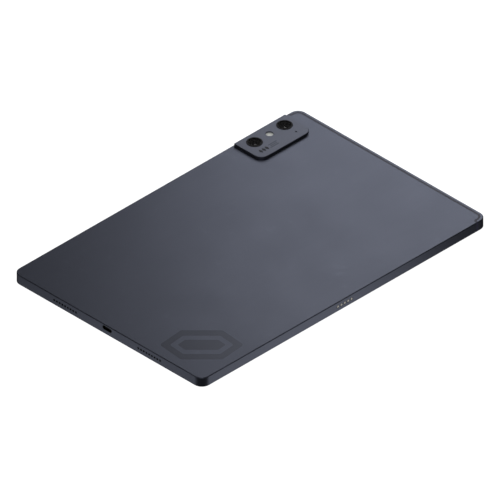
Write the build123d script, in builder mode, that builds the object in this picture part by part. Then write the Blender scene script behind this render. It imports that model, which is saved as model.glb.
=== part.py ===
"""A 12-inch class tablet computer, lying on its screen, built as separate pieces. Millimetres.

The origin is the centre of the front glass's outer face. +X points to the camera end, +Y to the long
edge that carries the camera island, and +Z out of the back. The dock contacts are on the -Y edge and
the USB-C port is on the -X edge.
"""

import os

from build123d import *

os.makedirs("parts", exist_ok=True)

# ---------------------------------------------------------------- body shell
body_length = 278.0
body_width = 184.4
body_thickness = 7.6  # front glass face to back face
corner_radius = 7.0
back_bevel = 0.45
rim_bevel = 0.1
rim_setback = 0.06  # the glass stands this far proud of the rim
side_wall = 1.2
back_wall = 0.8
fit_gap = 0.05  # between pieces that are bonded or laid together

half_length = body_length / 2
half_width = body_width / 2
inner_back = body_thickness - back_wall
inner_length = body_length - 2 * side_wall
inner_width = body_width - 2 * side_wall
inner_radius = corner_radius - side_wall
cut_overrun = 0.5
wall_cut = side_wall + cut_overrun  # a cut this deep from outside goes through the side wall only

# ---------------------------------------------------------------- antenna break round the camera end
antenna_inset = 2.8  # edge of the body to the strip's centre line
antenna_strip_width = 1.6
antenna_exit = 10.0  # camera end to where the strip leaves through the long sides
antenna_exit_bend = 1.5
antenna_bead_width = 2.8
antenna_bead_height = 0.5

# ---------------------------------------------------------------- openings in the side walls
side_hole_height = 3.9  # centre of speaker holes, contacts and keys above the glass face
speaker_inset = 51.3  # long side of the body to the centre of each speaker grille
speaker_offset = half_width - speaker_inset
speaker_hole_count = 9
speaker_hole_pitch = 2.64
speaker_hole_radius = 0.85
port_height = 4.9  # centre of the USB-C port
port_width = 8.94
port_depth_height = 3.26
port_clearance = 0.08
port_mouth = 0.15  # the receptacle's mouth sits this far inside the housing's face
port_tongue_setback = 1.0  # mouth to the front of the tongue
port_tongue_width = 6.7
port_tongue_thickness = 0.7
port_tongue_corner = 0.2
port_notch_gap = 0.1  # back of the receptacle to the sub-board
port_notch_side_gap = 0.2
contact_count = 5
contact_pitch = 3.25
contact_radius = 0.9
contact_tail_radius = 0.45
contact_tail_length = 1.0
contact_boss_radius = 1.25
contact_boss_gap = 0.04
contact_holder_margin = 2.5  # added to the length of the row
contact_holder_height = 2.0
contact_holder_depth = 1.4
contact_holder_corner = 0.4
contact_holder_raise = 0.35  # bar above the contacts' centre line
magnet_count = 4
magnet_pitch = 40.0
magnet_length = 14.0
magnet_height = 2.6
magnet_depth = 2.0
magnet_corner = 0.3
magnet_raise = 0.6  # magnets above the contacts' centre line
microphone_hole_radius = 0.7
top_microphone_x = 2.0
top_microphone_length = 3.5
top_microphone_height = 1.8
top_microphone_depth = 2.6
top_microphone_raise = 0.3  # microphone can above the centre of its hole
microphone_corner = 0.2

# ---------------------------------------------------------------- keys
key_height = 2.3
key_proud = 0.35
key_gap = 0.12
key_flange = 0.5
key_flange_overhang = 0.9
key_relief = 0.15
key_edge_radius = 0.25
key_flange_corner = 0.5
key_pocket_margin = 0.5  # key flange to the sides of its pocket
key_pocket_depth = 4.4  # side of the body to the back of the pockets in the mid-frame
power_key_length = 13.4
power_key_y = half_width - 23.2
power_key_travel = 0.25
rocker_length = 23.4
rocker_x = half_length - 93.0
rocker_slack = 0.3
switch_height = 2.0
switch_depth = 1.3
switch_length = 4.5
switch_corner = 0.3
switch_raise = 0.2  # switch body above the key's centre line
switch_button_radius = 0.6
switch_button_height = 0.4
switch_button_root = 0.1  # the button starts this deep in the switch body
rocker_switch_offset = 8.0  # middle of the rocker to each switch

# ---------------------------------------------------------------- card tray and its ejector
tray_y = -half_width + 24.2
tray_door_width = 16.4
tray_door_height = 2.2
tray_door_depth = 1.15
tray_door_radius = 1.0
tray_slot_gap = 0.08
tray_width = 12.6
tray_shift = 1.4  # the tray sits off the door's centre to make room for the eject rod
tray_thickness = 1.1
tray_length = 18.85
card_width = 11.1
card_length = 15.1
card_floor = 0.3
card_margin = 0.8  # inner end of the tray to the card
reader_cover_thickness = 0.15
reader_base_thickness = 0.18
eject_hole_radius = 0.45
eject_rod_size = 0.8
eject_offset = 6.6  # door centre to eject rod
eject_lever_arm = 4.0
eject_lever_width = 1.0
eject_lever_thickness = 0.6
eject_lever_eye = 0.5  # metal round the lever's pin
lever_gap = 0.3
eject_pin_radius = 0.55
eject_pin_gap = 0.05
eject_slide_depth = 1.5
eject_slide_cut = 3.0  # the slide is this much narrower than the tray, on the rod's side
reader_back_margin = 4.2  # lever to the back of the reader
reader_wall_gap = 0.4
reader_rod_margin = 1.8  # rod to the side of the reader
reader_tray_margin = 1.0  # tray to the other side
reader_rail_width = 0.7
reader_rail_start = 1.0  # inner end of the tray to the rail beside it
reader_rail_gap = 0.2

# ---------------------------------------------------------------- camera island on the back
island_height = 2.1
island_length = 49.8
island_width = 26.9
island_end_gap = 13.8  # camera end of the body to the island
island_edge_gap = 1.0  # long side of the body to the island
island_inner_radius = 6.5
island_outer_radius = 0.6
island_wall = 1.3
island_plate = 0.9
island_edge_bevel = 0.25
island_skirt = 0.8
island_skirt_drop = 0.7
island_opening_margin = 2.0
lens_spacing = 29.2
lens_edge = 10.0  # long side of the body to the lens centres
lens_end = 23.2  # camera end of the body to the nearer lens
lens_ring_radius = 5.85
lens_ring_proud = 0.25
lens_ring_flange = 0.65
lens_tube_radius = 5.25
lens_bore_radius = 4.1
lens_cover_radius = 4.7
lens_cover_thickness = 0.5
lens_cover_setback = 0.2
camera_base = 9.6
camera_base_bottom = 3.9
camera_base_top = 6.9
camera_barrel_radius = 3.8
camera_pupil_radius = 1.6
camera_base_corner = 0.6
camera_lip = 0.5  # barrel's edge to the mouth of its funnel
camera_funnel_depth = 1.6
camera_funnel_angle = 100
flash_radius = 2.85
flash_lens_thickness = 0.6
flash_depth = 1.2
flash_tube_wall = 0.9
flash_board_length = 12.0
flash_board_width = 7.0
flash_board_corner = 0.8
flash_board_thickness = 0.4
flash_led_size = 1.9
flash_led_height = 0.7
flash_led_offset = 1.2
island_microphone_drop = 11.3  # below the nearer lens, towards the middle of the body
rear_microphone_length = 3.5
rear_microphone_width = 2.6
rear_microphone_height = 1.0
ring_fit = 0.04

# ---------------------------------------------------------------- screen stack
glass_thickness = 0.7
glass_edge_radius = 0.45
glass_inset = 1.9
adhesive_thickness = 0.15
adhesive_width = 1.9
adhesive_setback = 0.2  # edge of the glass to the tape
ledge_width = 2.95
ledge_thickness = 0.6
display_length = body_length - 9.4
display_width = body_width - 16.0
cell_thickness = 0.9
backlight_thickness = 1.0
backlight_corner = 0.8
mid_frame_bottom = 2.75
mid_frame_top = 3.15
mid_frame_rib_width = 1.7
front_camera_size = 5.0
front_camera_spacing = 60.0
front_camera_edge = 5.3  # long side of the body to the front cameras
front_camera_top = 4.3
front_camera_lens_radius = 1.5
front_camera_barrel_inset = 0.2  # side of the camera to its round barrel
front_camera_barrel_height = 1.2
front_camera_corner = 0.4
front_camera_funnel_depth = 0.5
front_camera_funnel_angle = 30
light_sensor_length = 3.0
light_sensor_width = 2.0
light_sensor_height = 1.0
light_sensor_corner = 0.3
light_sensor_shift = 0.6  # from the cameras' line towards the middle of the body
sensor_notch_gap = 0.2

# ---------------------------------------------------------------- boards, battery and sound
board_thickness = 0.8
board_corner = 1.0
main_board_x = half_length - 71.0
main_board_end = half_length - 19.0
main_board_top = half_width - 32.2
main_board_foot_x = half_length - 4.0
main_board_foot_y = -half_width + 36.2
main_board_bottom_y = -half_width + 14.2
sub_board_end = 3.0  # port end of the body to the sub-board
sub_board_depth = 20.0
sub_board_gap = 1.9  # sub-board to the speakers beside it
sub_board_screw_inset = 3.5
sub_board_corner = 1.5
port_shell_depth = 7.4
port_shell_wall = 0.3
port_shell_back = 0.8
battery_gap = 4.0
battery_start_x = -half_length + 29.0
battery_end_x = half_length - 77.0
battery_cell_length = (battery_end_x - battery_start_x - battery_gap) / 2
battery_cell_width = body_width - 56.4
battery_bottom = 3.3
battery_thickness = 3.2
battery_corner = 2.5
battery_edge_radius = 0.8
battery_board_gap = 0.4
battery_board_width = 4.4
battery_board_length = 60.0
battery_board_thickness = 0.6
speaker_box_width = 26.0
speaker_box_depth = 15.0
speaker_box_bottom = 3.3
speaker_box_height = 2.85
speaker_wall_gap = 1.25
speaker_box_corner = 2.0
diaphragm_width = 9.0
diaphragm_length = 16.0
diaphragm_corner = 2.5
diaphragm_recess = 0.3
speaker_mesh_margin = 0.6  # added to the length of the row of holes
speaker_mesh_thickness = 0.3
speaker_mesh_height = 1.6
can_sheet = 0.2
can_bottom = 3.3
can_gap = 0.02
can_corner = 1.2
heat_spreader_length = 109.0
heat_spreader_width = 49.0
heat_spreader_x = main_board_x + 26.5
heat_spreader_y = main_board_top - 57.5
heat_spreader_thickness = 0.1
heat_spreader_corner = 2.0

# ---------------------------------------------------------------- flexes and the antenna cable
flex_thickness = 0.12
flex_corner = 1.0
channel_gap = 3.0  # battery to the middle of the channel at its port end
flex_channel_half = 2.2  # half the width of the flex in that channel
flex_lane_gap = 5.5  # battery to the middle of the lane below it
flex_lane = 3.0  # half the width of the flex in its lane below the battery
flex_landing = 4.5  # how far the flex reaches over the main board
sub_flex_width = 5.0
sub_flex_rise = 9.0  # lower edge of the sub-board to the flex
sub_flex_landing = 2.0  # past the middle of the sub-board
display_flex_half = 6.0  # half its width
display_flex_steps = (5.0, 1.0, -3.0, -9.0)  # from the middle of the window: end, bend, bend, end
camera_flex_width = 5.0
camera_flex_length = 24.0
coax_radius = 0.4
coax_bend = 2.0
coax_start = 6.0  # middle of the sub-board to the cable's end
coax_start_y = 14.0
coax_lane_gap = 3.6  # battery to the cable
coax_landing = 10.0  # how far the cable reaches over the main board
coax_end_drop = 8.0  # upper edge of the main board to the cable's end

# ---------------------------------------------------------------- screws and bosses
boss_radius = 2.2
screw_radius = 0.7
screw_gap = 0.03
screw_head_radius = 1.3
screw_head_height = 0.4
screw_drive_radius = 0.55
screw_drive_depth = 0.25
chassis_screw_length = 2.8
chassis_screw_inset = 5.6
chassis_screw_end = 14.0  # end of the body to the last chassis screws
chassis_screw_x_top = (
    -half_length + chassis_screw_end,
    -80.0,
    -48.0,
    -12.0,
    half_length - 72.0,
    half_length - chassis_screw_end,
)
chassis_screw_x_bottom = (
    -half_length + chassis_screw_end,
    -80.0,
    -35.0,
    35.0,
    80.0,
    half_length - chassis_screw_end,
)
board_screw_length = 2.0
board_screw_inset = 3.5
upper_screw_inset = 9.6  # end of the main board to its upper screw
upper_screw_drop = 0.5
foot_screw_offset = 33.5  # edge of the main board to the screw at its foot
board_screw_spots = (
    (main_board_x + board_screw_inset, main_board_top - board_screw_inset),
    (main_board_end - upper_screw_inset, main_board_top - board_screw_inset - upper_screw_drop),
    (main_board_end - board_screw_inset, main_board_foot_y + board_screw_inset),
    (main_board_x + board_screw_inset, main_board_bottom_y + board_screw_inset),
    (main_board_x + foot_screw_offset, main_board_bottom_y + board_screw_inset),
)

sub_board_width = 2 * (speaker_offset - speaker_box_width / 2 - sub_board_gap)
sub_board_screw_offset = sub_board_width / 2 - sub_board_screw_inset
# the card reader sits between mid-frame and main board: cover, tray, base, board
tray_z = mid_frame_top + 4 * fit_gap + reader_cover_thickness + tray_thickness / 2
board_bottom = tray_z + tray_thickness / 2 + 2 * fit_gap + reader_base_thickness + can_gap
board_top = board_bottom + board_thickness
island_top = body_thickness + island_height
island_centre_x = half_length - island_end_gap - island_length / 2
island_centre_y = half_width - island_edge_gap - island_width / 2
lens_y = half_width - lens_edge
lens_x = (half_length - lens_end - lens_spacing, half_length - lens_end)
flash_x = sum(lens_x) / 2
lens_bottom = island_top + lens_ring_proud - lens_cover_setback - lens_cover_thickness

port_end = Plane(origin=(-half_length, 0, 0), x_dir=(0, 1, 0), z_dir=(-1, 0, 0))
camera_end = Plane(origin=(half_length, 0, 0), x_dir=(0, 1, 0), z_dir=(1, 0, 0))
dock_side = Plane(origin=(0, -half_width, 0), x_dir=(1, 0, 0), z_dir=(0, -1, 0))
key_side = Plane(origin=(0, half_width, 0), x_dir=(-1, 0, 0), z_dir=(0, 1, 0))


def at_height(end, height):
    """The plane of a side wall's outer face, with its origin raised to a height above the glass face."""
    return Plane(origin=end.origin + Vector(0, 0, height), x_dir=end.x_dir, z_dir=end.z_dir)


def into(end, depth, height):
    """A plane parallel to a side wall, that far inside the body's outer face."""
    return Plane(
        origin=end.origin - end.z_dir * depth + Vector(0, 0, height), x_dir=end.x_dir, z_dir=end.z_dir
    )


# ================================================================ housing, antenna strip and end cap
with BuildPart() as shell:
    with BuildSketch(Plane.XY.offset(rim_setback)):
        RectangleRounded(body_length, body_width, corner_radius)
    extrude(amount=body_thickness - rim_setback)
    chamfer(shell.faces().sort_by(Axis.Z)[-1].edges(), back_bevel)
    chamfer(shell.faces().sort_by(Axis.Z)[0].edges(), rim_bevel)
    with BuildSketch(Plane.XY.offset(rim_setback)):
        RectangleRounded(inner_length, inner_width, inner_radius)
    extrude(amount=inner_back - rim_setback, mode=Mode.SUBTRACT)
    # speaker holes through both short sides
    for end in (port_end, camera_end):
        with BuildSketch(at_height(end, side_hole_height)):
            for side in (-1, 1):
                with Locations((side * speaker_offset, 0)):
                    with GridLocations(speaker_hole_pitch, 1, speaker_hole_count, 1):
                        Circle(speaker_hole_radius)
        extrude(amount=-wall_cut, mode=Mode.SUBTRACT)
    # USB-C port
    with BuildSketch(at_height(port_end, port_height)):
        SlotOverall(port_width + 2 * port_clearance, port_depth_height + 2 * port_clearance)
    extrude(amount=-wall_cut, mode=Mode.SUBTRACT)
    # dock contacts
    with BuildSketch(at_height(dock_side, side_hole_height)):
        with GridLocations(contact_pitch, 1, contact_count, 1):
            Circle(contact_boss_radius + contact_boss_gap)
    extrude(amount=-wall_cut, mode=Mode.SUBTRACT)
    # key slots and the microphone hole
    with BuildSketch(at_height(camera_end, side_hole_height)):
        with Locations((power_key_y, 0)):
            SlotOverall(power_key_length + 2 * key_gap, key_height + 2 * key_gap)
    extrude(amount=-wall_cut, mode=Mode.SUBTRACT)
    with BuildSketch(at_height(key_side, side_hole_height)):
        with Locations((-rocker_x, 0)):
            SlotOverall(rocker_length + 2 * key_gap, key_height + 2 * key_gap)
        with Locations((-top_microphone_x, 0)):
            Circle(microphone_hole_radius)
    extrude(amount=-wall_cut, mode=Mode.SUBTRACT)
    # card tray slot
    with BuildSketch(at_height(camera_end, tray_z)):
        with Locations((tray_y, 0)):
            RectangleRounded(
                tray_door_width + 2 * tray_slot_gap,
                tray_door_height + 2 * tray_slot_gap,
                tray_door_radius + tray_slot_gap,
            )
    extrude(amount=-wall_cut, mode=Mode.SUBTRACT)
    # opening under the camera island
    with BuildSketch(Plane.XY.offset(body_thickness)):
        with Locations((island_centre_x, island_centre_y)):
            RectangleRounded(
                island_length - 2 * (island_wall + island_opening_margin),
                island_width - 2 * (island_wall + island_opening_margin),
                island_inner_radius - island_wall - island_opening_margin,
            )
    extrude(amount=-back_wall, mode=Mode.SUBTRACT)

# The strip's centre line: in through one long side, round the camera end and out through the other.
strip_x = half_length - antenna_inset
strip_y = half_width - antenna_inset
exit_x = half_length - antenna_exit
strip_corner = corner_radius - antenna_inset
outside = 5.0
with BuildLine() as strip_path:
    FilletPolyline(
        (exit_x, -half_width - outside),
        (exit_x, -strip_y),
        (strip_x, -strip_y),
        (strip_x, strip_y),
        (exit_x, strip_y),
        (exit_x, half_width + outside),
        radius=[antenna_exit_bend, strip_corner, strip_corner, antenna_exit_bend],
    )

with BuildPart() as strip_zone:
    with BuildSketch():
        trace(strip_path.line, line_width=antenna_strip_width)
    extrude(amount=2 * body_thickness)

with BuildPart() as cap_zone:
    with BuildSketch():
        with BuildLine():
            add(strip_path.line)
            Polyline(
                (exit_x, half_width + outside),
                (half_length + outside, half_width + outside),
                (half_length + outside, -half_width - outside),
                (exit_x, -half_width - outside),
            )
        make_face()
    extrude(amount=2 * body_thickness)
    add(strip_zone.part, mode=Mode.SUBTRACT)

with BuildPart() as antenna_end_cap:
    add(shell.part)
    add(cap_zone.part, mode=Mode.INTERSECT)
antenna_end_cap.part.label = "antenna_end_cap"
export_step(antenna_end_cap.part, "parts/antenna_end_cap.step")

with BuildPart() as antenna_strip:
    add(shell.part)
    add(strip_zone.part, mode=Mode.INTERSECT)
    # a bead behind the back wall holds the cap to the housing
    with BuildSketch(Plane.XY.offset(inner_back)):
        trace(strip_path.line, line_width=antenna_bead_width)
        RectangleRounded(inner_length, inner_width, inner_radius, mode=Mode.INTERSECT)
    extrude(amount=-antenna_bead_height)
antenna_strip.part.label = "antenna_strip"
export_step(antenna_strip.part, "parts/antenna_strip.step")

chassis_screw_y = half_width - chassis_screw_inset
chassis_screw_spots = [(x, chassis_screw_y) for x in chassis_screw_x_top]
chassis_screw_spots += [(x, -chassis_screw_y) for x in chassis_screw_x_bottom]
sub_board_x = -half_length + sub_board_end + sub_board_depth / 2
board_spots = list(board_screw_spots)
board_spots += [(sub_board_x, side * sub_board_screw_offset) for side in (-1, 1)]
boss_bottom = mid_frame_top + fit_gap

with BuildPart() as rear_housing:
    add(shell.part)
    add(cap_zone.part, mode=Mode.SUBTRACT)
    add(strip_zone.part, mode=Mode.SUBTRACT)
    # bosses for the mid-frame and for the boards
    with BuildSketch(Plane.XY.offset(boss_bottom)):
        with Locations(*chassis_screw_spots):
            Circle(boss_radius)
    extrude(amount=inner_back - boss_bottom)
    with BuildSketch(Plane.XY.offset(board_top)):
        with Locations(*board_spots):
            Circle(boss_radius)
    extrude(amount=inner_back - board_top)
    with BuildSketch(Plane.XY.offset(boss_bottom)):
        with Locations(*chassis_screw_spots):
            Circle(screw_radius + screw_gap)
    extrude(amount=chassis_screw_length, mode=Mode.SUBTRACT)
    with BuildSketch(Plane.XY.offset(board_top)):
        with Locations(*board_spots):
            Circle(screw_radius + screw_gap)
    extrude(amount=board_screw_length - board_thickness + 2 * fit_gap, mode=Mode.SUBTRACT)
rear_housing.part.label = "rear_housing"
export_step(rear_housing.part, "parts/rear_housing.step")

# ================================================================ camera island
with BuildPart() as camera_island:
    with BuildSketch(Plane.XY.offset(body_thickness)) as island_outline:
        with Locations((island_centre_x, island_centre_y)):
            Rectangle(island_length, island_width)
        corners = island_outline.vertices().group_by(Axis.Y)
        fillet(corners[0], island_inner_radius)
        fillet(island_outline.vertices().group_by(Axis.Y)[-1], island_outer_radius)
    extrude(amount=island_height)
    chamfer(camera_island.faces().sort_by(Axis.Z)[-1].edges(), island_edge_bevel)
    # hollow inside, open towards the body
    with BuildSketch(Plane.XY.offset(body_thickness)):
        with Locations((island_centre_x, island_centre_y)):
            RectangleRounded(
                island_length - 2 * island_wall,
                island_width - 2 * island_wall,
                island_inner_radius - island_wall,
            )
    extrude(amount=island_height - island_plate, mode=Mode.SUBTRACT)
    # a foot round the inside and a skirt that drops into the housing's opening
    with BuildSketch(Plane.XY.offset(body_thickness)):
        with Locations((island_centre_x, island_centre_y)):
            RectangleRounded(
                island_length - 2 * island_wall,
                island_width - 2 * island_wall,
                island_inner_radius - island_wall,
            )
            RectangleRounded(
                island_length - 2 * (island_wall + island_opening_margin + fit_gap + island_skirt),
                island_width - 2 * (island_wall + island_opening_margin + fit_gap + island_skirt),
                island_inner_radius - island_wall - island_opening_margin - fit_gap - island_skirt,
                mode=Mode.SUBTRACT,
            )
    extrude(amount=island_skirt / 2)
    with BuildSketch(Plane.XY.offset(body_thickness)):
        with Locations((island_centre_x, island_centre_y)):
            RectangleRounded(
                island_length - 2 * (island_wall + island_opening_margin + fit_gap),
                island_width - 2 * (island_wall + island_opening_margin + fit_gap),
                island_inner_radius - island_wall - island_opening_margin - fit_gap,
            )
            RectangleRounded(
                island_length - 2 * (island_wall + island_opening_margin + fit_gap + island_skirt),
                island_width - 2 * (island_wall + island_opening_margin + fit_gap + island_skirt),
                island_inner_radius - island_wall - island_opening_margin - fit_gap - island_skirt,
                mode=Mode.SUBTRACT,
            )
    extrude(amount=-island_skirt_drop)
    # tube that holds the flash lens
    with BuildSketch(Plane.XY.offset(body_thickness + island_height - island_plate)):
        with Locations((flash_x, lens_y)):
            Circle(flash_radius + flash_tube_wall)
    extrude(amount=-(island_height - island_plate - fit_gap))
    with Locations((flash_x, lens_y, island_top)):
        Hole(flash_radius + ring_fit, depth=island_height)
    # stepped bores for the lens rings, and the microphone hole
    with Locations(*[(x, lens_y, island_top) for x in lens_x]):
        CounterBoreHole(
            lens_tube_radius + ring_fit,
            lens_ring_radius + ring_fit,
            lens_ring_flange - lens_ring_proud,
            depth=island_plate,
        )
    with Locations((lens_x[1], lens_y - island_microphone_drop, island_top)):
        Hole(microphone_hole_radius, depth=island_plate)
camera_island.part.label = "camera_island"
export_step(camera_island.part, "parts/camera_island.step")

flange_bottom = island_top + lens_ring_proud - lens_ring_flange
for number, x in enumerate(lens_x, start=1):
    with BuildPart() as lens_ring:
        with BuildSketch(Plane.XY.offset(flange_bottom)):
            with Locations((x, lens_y)):
                Circle(lens_ring_radius)
        extrude(amount=lens_ring_flange)
        outer_edge = lens_ring.edges().group_by(Axis.Z)[-1]
        chamfer(outer_edge, lens_ring_proud)
        with BuildSketch(Plane.XY.offset(flange_bottom)):
            with Locations((x, lens_y)):
                Circle(lens_tube_radius)
        extrude(amount=-(island_plate - lens_ring_flange + lens_ring_proud))
        with Locations((x, lens_y, island_top + lens_ring_proud)):
            CounterBoreHole(
                lens_bore_radius,
                lens_cover_radius + ring_fit,
                lens_cover_setback + lens_cover_thickness,
                depth=island_height,
            )
    lens_ring.part.label = f"lens_ring_{number}"
    export_step(lens_ring.part, f"parts/lens_ring_{number}.step")

    with BuildPart() as lens_cover:
        with BuildSketch(Plane.XY.offset(lens_bottom)):
            with Locations((x, lens_y)):
                Circle(lens_cover_radius)
        extrude(amount=lens_cover_thickness)
    lens_cover.part.label = f"lens_cover_{number}"
    export_step(lens_cover.part, f"parts/lens_cover_{number}.step")

    with BuildPart() as rear_camera:
        with BuildSketch(Plane.XY.offset(camera_base_bottom)):
            with Locations((x, lens_y)):
                RectangleRounded(camera_base, camera_base, camera_base_corner)
        extrude(amount=camera_base_top - camera_base_bottom)
        with BuildSketch(Plane.XY.offset(camera_base_top)):
            with Locations((x, lens_y)):
                Circle(camera_barrel_radius)
        extrude(amount=lens_bottom - fit_gap - camera_base_top)
        # stepped funnel down to the front lens element
        with Locations((x, lens_y, lens_bottom - fit_gap)):
            CounterSinkHole(
                camera_pupil_radius,
                camera_barrel_radius - camera_lip,
                depth=camera_funnel_depth,
                counter_sink_angle=camera_funnel_angle,
            )
    rear_camera.part.label = f"rear_camera_{number}"
    export_step(rear_camera.part, f"parts/rear_camera_{number}.step")

with BuildPart() as flash_lens:
    with BuildSketch(Plane.XY.offset(island_top - flash_depth)):
        with Locations((flash_x, lens_y)):
            Circle(flash_radius)
    extrude(amount=-flash_lens_thickness)
flash_lens.part.label = "flash_lens"
export_step(flash_lens.part, "parts/flash_lens.step")

flash_led_top = island_top - flash_depth - flash_lens_thickness - fit_gap
flash_board_top = flash_led_top - flash_led_height
with BuildPart() as flash_board:
    with BuildSketch(Plane.XY.offset(flash_board_top)):
        with Locations((flash_x, lens_y)):
            RectangleRounded(flash_board_length, flash_board_width, flash_board_corner)
    extrude(amount=-flash_board_thickness)
flash_board.part.label = "flash_board"
export_step(flash_board.part, "parts/flash_board.step")

with BuildPart() as flash_led:
    with BuildSketch(Plane.XY.offset(flash_board_top)):
        with Locations((flash_x - flash_led_offset, lens_y), (flash_x + flash_led_offset, lens_y)):
            Rectangle(flash_led_size, flash_led_size)
    extrude(amount=flash_led_height)
flash_led.part.label = "flash_led"
export_step(flash_led.part, "parts/flash_led.step")

with BuildPart() as rear_microphone:
    with BuildSketch(Plane.XY.offset(island_top - island_plate - fit_gap)):
        with Locations((lens_x[1], lens_y - island_microphone_drop)):
            RectangleRounded(rear_microphone_length, rear_microphone_width, microphone_corner)
    extrude(amount=-rear_microphone_height)
rear_microphone.part.label = "rear_microphone"
export_step(rear_microphone.part, "parts/rear_microphone.step")

# ================================================================ screen stack
front_camera_x = (-front_camera_spacing / 2, front_camera_spacing / 2)
front_camera_y = half_width - front_camera_edge
notch_size = front_camera_size + 2 * sensor_notch_gap
camera_notches = [(x, front_camera_y) for x in front_camera_x]
ledge_bottom = glass_thickness + adhesive_thickness
glass_length = body_length - 2 * glass_inset
glass_width = body_width - 2 * glass_inset
glass_corner = corner_radius - glass_inset

with BuildPart() as front_glass:
    with BuildSketch():
        RectangleRounded(glass_length, glass_width, glass_corner)
    extrude(amount=glass_thickness)
    fillet(front_glass.faces().sort_by(Axis.Z)[0].edges(), glass_edge_radius)
front_glass.part.label = "front_glass"
export_step(front_glass.part, "parts/front_glass.step")

bezel_gap = side_wall + fit_gap
with BuildPart() as bezel_frame:
    with BuildSketch(Plane.XY.offset(rim_setback + fit_gap)):
        RectangleRounded(body_length - 2 * bezel_gap, body_width - 2 * bezel_gap, corner_radius - bezel_gap)
        RectangleRounded(
            glass_length + 2 * fit_gap, glass_width + 2 * fit_gap, glass_corner + fit_gap, mode=Mode.SUBTRACT
        )
    extrude(amount=ledge_bottom - rim_setback - fit_gap)
    with BuildSketch(Plane.XY.offset(ledge_bottom)):
        RectangleRounded(body_length - 2 * bezel_gap, body_width - 2 * bezel_gap, corner_radius - bezel_gap)
        RectangleRounded(
            body_length - 2 * (bezel_gap + ledge_width),
            body_width - 2 * (bezel_gap + ledge_width),
            corner_radius - bezel_gap - ledge_width,
            mode=Mode.SUBTRACT,
        )
    extrude(amount=ledge_thickness)
    with BuildSketch(Plane.XY.offset(ledge_bottom)):
        with Locations(*camera_notches):
            Rectangle(notch_size, notch_size)
    extrude(amount=ledge_thickness, mode=Mode.SUBTRACT)
bezel_frame.part.label = "bezel_frame"
export_step(bezel_frame.part, "parts/bezel_frame.step")

adhesive_inset = glass_inset + adhesive_setback
with BuildPart() as display_adhesive:
    with BuildSketch(Plane.XY.offset(glass_thickness)):
        RectangleRounded(
            body_length - 2 * adhesive_inset, body_width - 2 * adhesive_inset, corner_radius - adhesive_inset
        )
        RectangleRounded(
            body_length - 2 * (adhesive_inset + adhesive_width),
            body_width - 2 * (adhesive_inset + adhesive_width),
            corner_radius - adhesive_inset - adhesive_width,
            mode=Mode.SUBTRACT,
        )
        with Locations(*camera_notches):
            Rectangle(notch_size, notch_size, mode=Mode.SUBTRACT)
    extrude(amount=adhesive_thickness)
display_adhesive.part.label = "display_adhesive"
export_step(display_adhesive.part, "parts/display_adhesive.step")

with BuildPart() as display_cell:
    with BuildSketch(Plane.XY.offset(glass_thickness)):
        Rectangle(display_length, display_width)
    extrude(amount=cell_thickness)
display_cell.part.label = "display_cell"
export_step(display_cell.part, "parts/display_cell.step")

backlight_bottom = glass_thickness + cell_thickness + fit_gap
with BuildPart() as backlight_unit:
    with BuildSketch(Plane.XY.offset(backlight_bottom)):
        RectangleRounded(display_length, display_width, backlight_corner)
    extrude(amount=backlight_thickness)
backlight_unit.part.label = "backlight_unit"
export_step(backlight_unit.part, "parts/backlight_unit.step")

mid_frame_gap = side_wall + 2 * fit_gap
# where the display flex passes through the mid-frame
display_window = (main_board_x + 33.0, main_board_top + 6.0)
display_window_size = (16.0, 12.0)
display_window_corner = 1.5
with BuildPart() as mid_frame:
    with BuildSketch(Plane.XY.offset(mid_frame_bottom)):
        RectangleRounded(
            body_length - 2 * mid_frame_gap, body_width - 2 * mid_frame_gap, corner_radius - mid_frame_gap
        )
        with Locations(display_window):
            RectangleRounded(*display_window_size, display_window_corner, mode=Mode.SUBTRACT)
    extrude(amount=mid_frame_top - mid_frame_bottom)
    rib_bottom = ledge_bottom + ledge_thickness + fit_gap
    with BuildSketch(Plane.XY.offset(rib_bottom)):
        RectangleRounded(
            body_length - 2 * mid_frame_gap, body_width - 2 * mid_frame_gap, corner_radius - mid_frame_gap
        )
        RectangleRounded(
            body_length - 2 * (mid_frame_gap + mid_frame_rib_width),
            body_width - 2 * (mid_frame_gap + mid_frame_rib_width),
            corner_radius - mid_frame_gap - mid_frame_rib_width,
            mode=Mode.SUBTRACT,
        )
    extrude(amount=mid_frame_bottom - rib_bottom)
    with BuildSketch(Plane.XY.offset(rib_bottom)):
        with Locations(*camera_notches):
            Rectangle(notch_size, notch_size)
        with Locations(*chassis_screw_spots):
            Circle(screw_radius + fit_gap)
    extrude(amount=mid_frame_top - rib_bottom, mode=Mode.SUBTRACT)
    # room for the keys and their switches
    with BuildSketch(Plane.XY.offset(side_hole_height - key_height / 2 - key_relief)):
        with Locations((half_length, power_key_y)):
            Rectangle(
                2 * key_pocket_depth, power_key_length + 2 * (key_flange_overhang + key_pocket_margin)
            )
        with Locations((rocker_x, half_width)):
            Rectangle(rocker_length + 2 * (key_flange_overhang + key_pocket_margin), 2 * key_pocket_depth)
    extrude(amount=mid_frame_top, mode=Mode.SUBTRACT)
mid_frame.part.label = "mid_frame"
export_step(mid_frame.part, "parts/mid_frame.step")

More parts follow.
